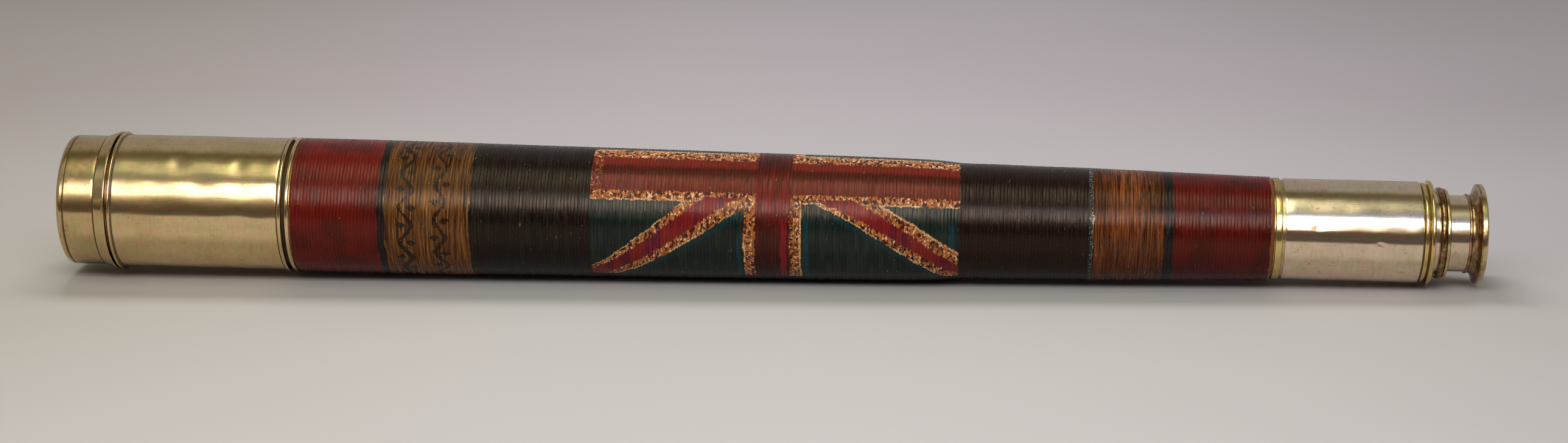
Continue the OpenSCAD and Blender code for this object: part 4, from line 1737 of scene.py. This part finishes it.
@dataclass
class EyeEnd:
    """The rear ferrule, the plain eye-end sleeve and the turned collar."""

    wall: float = 0.85
    chamfer: float = 0.4
    socket_wall: float = 0.75
    collar_spigot: float = 4.2
    collar_band: float = 3.2
    collar_flange: float = 2.3
    groove_depth: float = 2.2
    draw_gap: float = 0.3

    def build(self) -> None:
        """Makes the three brass pieces that show, and dresses those inside them."""
        self.ferrule()
        self.sleeve()
        self.collar()
        dress(DRAWN_BRASS, "eye_end_socket", "stop_shoulder", "draw_guide")

    def ferrule(self) -> None:
        """Makes the bright ring behind the binding."""
        span = Span.of("rear_ferrule")
        bore = Span.of("eye_end_socket").radius - self.socket_wall
        outline = Outline().to(span.start, bore).to(span.start, span.radius - self.chamfer, 0.1)
        outline.to(span.start + self.chamfer, span.radius, 0.2)
        outline.to(span.end - self.chamfer, span.radius, 0.2)
        outline.to(span.end, span.radius - self.chamfer, 0.1).to(span.end, bore)
        turned("rear_ferrule_turned", "rear_ferrule", Body.BARREL, Slot.POLISHED, outline, GOLD_BRASS)

    def sleeve(self) -> None:
        """Makes the sleeve with the small knock on its near side."""
        span = Span.of("eye_end_sleeve")
        outline = tube_outline(span, span.radius - self.wall, front=0.25, back=0.15)
        dents = (
            Dent(299.9, 1.0, 0.13, 1.0, 0.7),
            Dent(301.2, -0.8, 0.15, 1.0, 0.7),
            Dent(302.5, -2.6, 0.12, 1.0, 0.7),
            Dent(270.0, 18.0, 0.05, 2.5, 1.5),
            Dent(289.0, 150.0, 0.12, 4.0, 5.0),
        )
        relief = Knocks(seed=5, wave=0.045, dents=dents).relief(span)
        turned(
            "eye_end_sleeve_drawn", "eye_end_sleeve", Body.BARREL, Slot.POLISHED, outline, PALE_BRASS,
            longest=0.9, segments=240, relief=relief,
        )

    def collar(self) -> None:
        """Makes the collar: a cove, a raised band, a groove and the flange."""
        span = Span.of("eye_end_collar")
        sleeve = Span.of("eye_end_sleeve")
        draw = Span.of("draw_tube").radius
        guide = Span.of("draw_guide")
        front = sleeve.end
        band_end = front + self.collar_band
        flange = span.end - self.collar_flange
        spigot = front - self.collar_spigot
        inner = sleeve.radius - self.wall
        groove = span.radius - self.groove_depth
        outline = Outline().to(spigot, guide.radius).to(spigot, inner)
        outline.to(front, inner, polish_and_shade=True).to(front + 0.3, groove - 0.1, 0.15, polish_and_shade=True)
        outline.to(front + 0.9, groove, 0.1)
        outline.bead(front + 0.9, band_end, groove + 0.3, 0.8)
        outline.to(band_end + 0.1, groove, 0.05, polish_and_shade=True).to(flange - 0.1, groove, 0.05)
        outline.bead(flange, span.end, span.radius - 0.9, 0.9)
        outline.to(span.end, draw + self.draw_gap, 0.15)
        outline.to(guide.end, draw + self.draw_gap).to(guide.end, guide.radius)
        turned("eye_end_collar_turned", "eye_end_collar", Body.BARREL, Slot.POLISHED, outline, GOLD_BRASS)


@dataclass
class DrawTube:
    """The draw tube with its end ring, and the erector inside it."""

    wall: float = 0.9
    bead_width: float = 3.1
    bead_foot: float = 1.2
    bead_height: float = 1.1
    disc_height: float = 1.7

    def build(self) -> None:
        """Makes the tube and its end ring, and dresses the erector."""
        self.tube()
        self.end_ring()
        dress(DRAWN_BRASS, "draw_stop_ring", "erector_tube", "erector_ring_front", "erector_ring_rear")
        dress(BLACKED, "erector_stop")
        dress(GLASS, "erector_lens_front", "erector_lens_rear")

    def tube(self) -> None:
        """Makes the polished tube that draws out."""
        span = Span.of("draw_tube")
        outline = tube_outline(span, span.radius - self.wall, front=0.2, back=0.1, mouth=0.1)
        turned(
            "draw_tube_polished", "draw_tube", Body.DRAW, Slot.DRAWN, outline, PALE_BRASS,
            longest=30.0, segments=200,
        )

    def end_ring(self) -> None:
        """Makes the beaded ring with its bright disc."""
        span = Span.of("draw_end_ring")
        tube = Span.of("draw_tube")
        neck = Span.of("eyepiece_tube").radius
        bead_end = span.start + self.bead_width
        disc = tube.radius + self.disc_height
        outline = Outline().to(span.start, tube.radius)
        outline.bead(span.start, bead_end, tube.radius + self.bead_foot, self.bead_height)
        outline.to(bead_end + 0.1, disc - 0.6, 0.05, polish_and_shade=True).to(bead_end + 0.3, disc, 0.15)
        outline.to(span.end - 0.6, disc, 0.2).to(span.end - 0.2, disc - 0.5, 0.1)
        outline.to(span.end, neck + 0.6, 0.2).to(span.end, neck)
        outline.to(tube.end, neck).to(tube.end, tube.radius)
        turned("draw_end_ring_turned", "draw_end_ring", Body.DRAW, Slot.POLISHED, outline, RING_BRASS)


@dataclass
class Eyepiece:
    """The eyepiece neck, its lenses and the flared eyecup with its dust shutter."""

    wall: float = 0.9
    spigot_wall: float = 2.0
    bead_width: float = 1.5
    bead_height: float = 0.6
    flare_gap: float = 3.2
    rim: float = 0.6
    eye_hole: float = 3.5
    floor: float = 1.7
    leaf_radius: float = 5.0
    leaf_boss: float = 2.6
    leaf_edge: float = 0.15
    leaf_points: int = 40
    boss_points: int = 24

    def build(self) -> None:
        """Makes the neck, the cup and the shutter, and dresses the rest."""
        self.neck()
        self.cup()
        self.leaf()
        self.knob()
        dress(GOLD_BRASS, "shutter_pivot_screw")
        dress(DRAWN_BRASS, "field_lens_ring", "eye_lens_ring")
        dress(BLACKED, "field_stop")
        dress(GLASS, "field_lens", "eye_lens")

    def neck(self) -> None:
        """Makes the eyepiece tube, whose end shows as the neck."""
        span = Span.of("eyepiece_tube")
        outline = tube_outline(span, span.radius - self.wall, front=0.15, back=0.0)
        turned("eyepiece_neck_drawn", "eyepiece_tube", Body.DRAW, Slot.DRAWN, outline, PALE_BRASS)

    def cup(self) -> None:
        """Makes the flared cup with its small bead, turned rim and dished inside."""
        span = Span.of("eyecup")
        neck = Span.of("eyepiece_tube")
        bore = neck.radius - self.wall
        start = neck.end
        bead_end = start + self.bead_width
        flare_end = span.end - self.flare_gap
        dish = start + self.floor
        outline = Outline()
        outline.to(span.start, bore - self.spigot_wall).to(span.start, bore).to(start, bore)
        outline.bead(start, bead_end, neck.radius + 0.2, self.bead_height, steps=10)
        outline.to(bead_end + 0.05, neck.radius + 0.25, polish_and_shade=True)
        outline.sweep((bead_end + 0.2, neck.radius + 0.3), (flare_end, span.radius - 0.6))
        outline.to(flare_end + 0.15, span.radius - 0.15, 0.15).to(flare_end + 0.4, span.radius, 0.1)
        outline.to(span.end - self.rim, span.radius, 0.35).to(span.end, span.radius - 0.9, 0.4)
        outline.to(span.end, span.radius - 1.5, 0.15)
        outline.sweep((span.end - 0.15, span.radius - 1.75), (dish, neck.radius - 1.3), False)
        outline.to(dish, self.eye_hole, 0.3).to(start + 0.6, self.eye_hole + 1.1, 0.1)
        outline.to(start + 0.6, bore - self.spigot_wall)
        turned("eyecup_turned", "eyecup", Body.DRAW, Slot.POLISHED, outline, CUP_BRASS)

    def leaf(self) -> None:
        """Makes the shutter leaf: two rounds joined by straight sides, with eased edges."""
        low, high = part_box("shutter_leaf")
        pivot = high.z / MM - self.leaf_boss
        eye = low.z / MM + self.leaf_radius
        reach = pivot - eye
        lean = math.acos((self.leaf_radius - self.leaf_boss) / reach)
        rounds = [
            (eye, self.leaf_radius, np.linspace(lean, 2 * math.pi - lean, self.leaf_points)),
            (pivot, self.leaf_boss, np.linspace(-lean, lean, self.boss_points)),
        ]
        line: list[tuple[float, float]] = []
        for centre, radius, angles in rounds:
            line += [(radius * math.sin(a), centre + radius * math.cos(a)) for a in angles]
        front, back = low.x / MM, high.x / MM
        points = np.array([(s, y, z) for s in (front, back) for y, z in line]) * MM
        count = len(line)
        faces = [list(range(count))[::-1], list(range(count, 2 * count))]
        faces += [[j, (j + 1) % count, (j + 1) % count + count, j + count] for j in range(count)]
        piece = mesh_object("shutter_leaf_eased", points, faces)
        weld(piece)
        bevel = piece.modifiers.new("eased_edges", "BEVEL")
        bevel.width = self.leaf_edge * MM
        bevel.segments = 3
        bevel.limit_method = "ANGLE"
        piece.data.materials.append(GOLD_BRASS.material())
        soften(piece)
        fit(piece, Body.SHUTTER, Slot.POLISHED, "shutter_leaf")

    def knob(self) -> None:
        """Makes the shutter's small domed knob."""
        low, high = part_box("shutter_knob")
        middle = (low + high) / 2
        radius = (high.z - low.z) / 2 / MM
        start, end = low.x / MM, high.x / MM
        outline = Outline().to(start, 0.0).to(start, radius * 0.75, 0.1)
        outline.to(start + 0.35, radius * 0.65, 0.1)
        outline.sweep((start + 0.4, radius), (end, 0.0), True, steps=8)
        piece = spun("shutter_knob_domed", outline, GOLD_BRASS, longest=LONGEST, segments=32, relief=None)
        piece.data.transform(Matrix.Translation((0, middle.y, middle.z)))
        fit(piece, Body.SHUTTER, Slot.POLISHED, "shutter_knob")


# The studio


@dataclass(frozen=True)
class Room:
    """The dark room round the scene: light by direction.

    Heights are angles in degrees from the level in front of the telescope, up over it and down behind it. A
    window is in front, then come the ceiling, a dark beam and a pale back wall. A bright pane in the window
    and a lit beam under the ceiling show in reflections alone. For matt surfaces the front is dimmed, because
    the front lamp lights them. The camera sees a plain backdrop.
    """

    dark: Colour = (0.115, 0.090, 0.070)
    window: Colour = (3.0, 2.85, 2.65)
    ceiling: Colour = (0.50, 0.53, 0.42)
    beam: Colour = (0.145, 0.130, 0.085)
    wall: Colour = (0.34, 0.325, 0.32)
    lit_ceiling: Colour = (1.0, 1.05, 0.75)
    lit_beam: Colour = (4.0, 3.9, 2.8)
    pane: Colour = (34.0, 31.0, 27.5)
    past_window: Colour = (0.25, 0.23, 0.20)
    daylight_tint: Colour = (0.96, 1.16, 1.70)
    dim_tint: Colour = (0.20, 0.20, 0.20)
    backdrop: Colour = (0.42, 0.38, 0.38)

    def build(self) -> None:
        """Makes the world and its light."""
        world = bpy.data.worlds.new("studio_room")
        bpy.context.scene.world = world
        tree = Tree(world)
        x, y, z = tree.split(Signal(tree, tree.add("ShaderNodeTexCoord").outputs["Generated"]))
        angle = tree.math("ARCTAN2", z, y * -1.0) * (180 / math.pi)
        height = angle - x * angle.rise(95.0, 40.0) * 9.0
        glossy = tree.ray("Is Glossy Ray")
        middle = x.between(-0.222, 0.10, 0.008) * glossy

        colour = self.surroundings(tree, height)
        lit_ceiling = height.between(66.0, 86.0, 4.0) * x.between(-0.245, 0.07, 0.03)
        colour = tree.mix(colour, self.lit_ceiling, lit_ceiling)
        colour = tree.mix(colour, self.pane, self.pane_mask(x, angle) * middle)
        lit_beam = (angle + x.rise(-0.08, 0.0) * 7.0).between(62.0, 92.0, 8.0)
        lit_beam = lit_beam * x.between(-0.170, 0.10, 0.008) * glossy
        colour = tree.mix(colour, self.lit_beam, lit_beam)
        past_window = height.between(22.0, 50.0, 3.0) * abs(x).rise(0.42, 0.62)
        colour = tree.mix(colour, self.past_window, past_window)
        daylight = height.between(20.0, 58.0, 5.0) * x.rise(-0.12, 0.18) * (1.0 - middle)
        colour = tree.mix(colour, tree.tinted(colour, self.daylight_tint), daylight)
        dim = angle.rise(52.0, 46.0) * (1.0 - glossy)
        colour = tree.mix(colour, tree.tinted(colour, self.dim_tint), dim)
        colour = tree.mix(colour, self.backdrop, tree.ray("Is Camera Ray"))

        background = tree.add("ShaderNodeBackground")
        output = tree.add("ShaderNodeOutputWorld")
        tree.feed(background.inputs["Color"], colour)
        tree.links.new(background.outputs[0], output.inputs["Surface"])

    def surroundings(self, tree: Tree, height: Signal) -> Signal:
        """The room's own light by height.

        Args:
            tree: The tree that is being filled.
            height: Angle over the level in front.

        Returns:
            The colour.
        """
        return tree.ramp(
            height,
            (
                (-20.0, self.dark), (8.0, self.dark), (14.0, (0.20, 0.17, 0.13)), (20.0, (0.40, 0.36, 0.29)),
                (25.5, (0.85, 0.80, 0.70)), (30.5, self.window), (40.5, self.window),
                (45.5, (0.85, 0.82, 0.80)), (50.0, (0.40, 0.39, 0.38)), (56.0, (0.29, 0.29, 0.25)),
                (63.0, (0.34, 0.37, 0.30)), (69.0, self.ceiling), (77.0, self.ceiling),
                (84.0, (0.33, 0.35, 0.26)), (92.0, (0.19, 0.18, 0.12)), (98.0, self.beam),
                (106.0, self.beam), (113.0, (0.26, 0.25, 0.20)), (120.0, self.wall), (180.0, self.wall),
            ),
        )

    @staticmethod
    def pane_mask(x: Signal, angle: Signal) -> Signal:
        """Where the window's bright pane shows in a reflection, and how strongly.

        Args:
            x: How far the direction leans along the telescope.
            angle: Angle over the level in front.

        Returns:
            The share of the pane's light.
        """
        low = angle - (x.rise(-0.198, -0.14) * -18.0 + 39.5 - x.rise(0.06, 0.09) * 6.0)
        high = low - x.rise(0.02, 0.09) * 13.0 - 9.0
        share = x.rise(0.04, 0.09) * 0.60 + 0.40 - x.between(-0.10, -0.01, 0.03) * 0.34
        return low.rise(-2.0, 1.0) * high.rise(2.0, -1.0) * share


@dataclass(frozen=True)
class Lamp:
    """A soft lamp: its size and place in metres, its power in watts and its tilt in degrees.

    The tilt is how far it is turned up from facing straight down, towards the back.
    """

    name: str
    width: float
    height: float
    energy: float
    at: tuple[float, float, float]
    tilt: float
    colour: Colour = (1.0, 0.985, 0.97)

    def hang(self, lean: Matrix) -> None:
        """Adds the lamp, which shows in no reflection.

        Args:
            lean: Turns the level room into the leaning row frame.
        """
        light = bpy.data.lights.new(self.name, "AREA")
        light.shape = "RECTANGLE"
        light.size = self.width
        light.size_y = self.height
        light.energy = self.energy
        light.color = self.colour
        made = bpy.data.objects.new(self.name, light)
        tilt = Matrix.Rotation(math.radians(self.tilt), 4, "X")
        made.matrix_world = lean @ Matrix.Translation(self.at) @ tilt
        made.visible_glossy = False
        bpy.context.scene.collection.objects.link(made)


@dataclass
class Studio:
    """A pale cloth floor, two soft lamps, the room around them and the camera.

    The telescope lies on its two widest rings, so the room leans by the floor's slope against its frame.
    """

    room: Room = Room()
    lamps: tuple[Lamp, ...] = (
        Lamp("overhead_softbox", 0.8, 0.4, 7.3, (-0.20, 0.46, 1.15), -22.0),
        Lamp("front_fill", 1.4, 0.5, 10.0, (-0.05, -0.98, 0.98), 45.0),
    )
    slope: float = 0.0155
    floor_size: float = 12.0
    cloth: tuple[tuple[float, Colour], ...] = (
        (-0.30, (0.630, 0.590, 0.592)), (-0.05, (0.565, 0.536, 0.525)), (0.20, (0.550, 0.512, 0.538)),
        (0.42, (0.500, 0.450, 0.488)), (0.90, (0.460, 0.418, 0.455)),
    )
    cloth_tint: Colour = (0.90, 0.885, 0.78)
    past_cloth: Colour = (0.07, 0.06, 0.05)
    cloth_front: float = 0.205
    cloth_slant: float = 0.20
    azimuth: float = 3.692
    elevation: float = 15.245
    roll: float = -0.398
    distance: float = 1.4597
    aim_along: float = 0.00837
    aim_below: float = 0.00266
    focal_pixels: float = 4800.0
    picture_width: float = 2576.0
    sensor: float = 36.0
    sight: float = 50.0

    def build(self) -> None:
        """Makes the floor, the room, the lamps and the camera."""
        self.floor()
        self.room.build()
        for lamp in self.lamps:
            lamp.hang(self.lean())
        self.camera()
        bpy.context.scene.view_settings.view_transform = "Standard"

    def lean(self) -> Matrix:
        """Turns the level room into the leaning row frame."""
        return Matrix.Rotation(-math.atan(self.slope), 4, "Y")

    def drop(self) -> float:
        """How far the floor lies under the axis at the middle of the telescope, so that it just touches.

        Returns:
            The distance in metres.
        """
        deepest = 0.0
        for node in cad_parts.values():
            for vertex in node.data.vertices:
                deepest = max(deepest, -vertex.co.z + self.slope * vertex.co.x)
        return deepest

    def floor(self) -> None:
        """Lays the pale cloth on which the telescope rests, darker past its front edge in reflections, with a
        painted falloff of the light: lighter at the front, darker towards the back and sides.
        """
        half = self.floor_size / 2
        corners = np.array([(-half, -half, 0), (half, -half, 0), (half, half, 0), (-half, half, 0)])
        made = mesh_object("cloth_floor", corners, [[0, 1, 2, 3]])
        made.matrix_world = Matrix.Translation((0, 0, -self.drop())) @ self.lean()
        material = bpy.data.materials.new("pale_cloth")
        tree = Tree(material)
        x, y, _ = tree.split(tree.place(MM, MM))
        # Painted falloff of the light: darker towards both sides here, and towards the back through the cloth
        # ramp.
        side = (1.0 - x.rise(-0.05, -0.60) * 0.12) * (1.0 - x.rise(0.16, 0.52) * 0.10)
        folds = tree.noise(tree.place(0.0022, 0.0040), 1.0, 2.0, 0.5)
        colour = tree.shaded(tree.ramp(y, self.cloth), side * (folds * 0.12 + 0.94))
        colour = tree.mix(colour, tree.tinted(colour, self.cloth_tint), x.rise(0.05, -0.62))
        front = y - x * self.cloth_slant
        past = tree.ray("Is Glossy Ray") * front.rise(-self.cloth_front + 0.03, -self.cloth_front - 0.03)
        colour = tree.mix(colour, self.past_cloth, past)
        tree.surface(Base_Color=colour, Roughness=0.9, Specular_IOR_Level=0.15, Normal=tree.bump(folds * 0.6))
        made.data.materials.append(material)

    def camera(self) -> None:
        """Stands the camera where the photograph was taken."""
        data = bpy.data.cameras.new("camera")
        data.sensor_width = self.sensor
        data.lens = self.focal_pixels * self.sensor / self.picture_width
        data.clip_end = self.sight
        turn, rise = math.radians(self.azimuth), math.radians(self.elevation)
        back = Vector((math.sin(turn) * math.cos(rise), -math.cos(turn) * math.cos(rise), math.sin(rise)))
        right = Vector((math.cos(turn), math.sin(turn), 0.0))
        up = back.cross(right)
        aim = Vector((self.aim_along, 0.0, -self.aim_below))
        stand = Matrix((right, up, back)).transposed().to_4x4()
        stand = Matrix.Translation(aim + back * self.distance) @ stand
        camera = bpy.data.objects.new("camera", data)
        camera.matrix_world = self.lean() @ stand @ Matrix.Rotation(math.radians(self.roll), 4, "Z")
        bpy.context.scene.collection.objects.link(camera)
        bpy.context.scene.camera = camera


def main() -> None:
    """Builds the studio and the telescope, and logs the face count of each new piece."""
    logging.basicConfig(level=logging.INFO, format="%(name)s: %(message)s")
    Studio().build()
    for part in (
        LensCap(), Sunshade(), ObjectiveEnd(), BoundBarrel(PaintedTwine()), EyeEnd(), DrawTube(), Eyepiece(),
    ):
        part.build()
        log.info("%s is built", type(part).__name__)


if __name__ == "__main__":
    main()
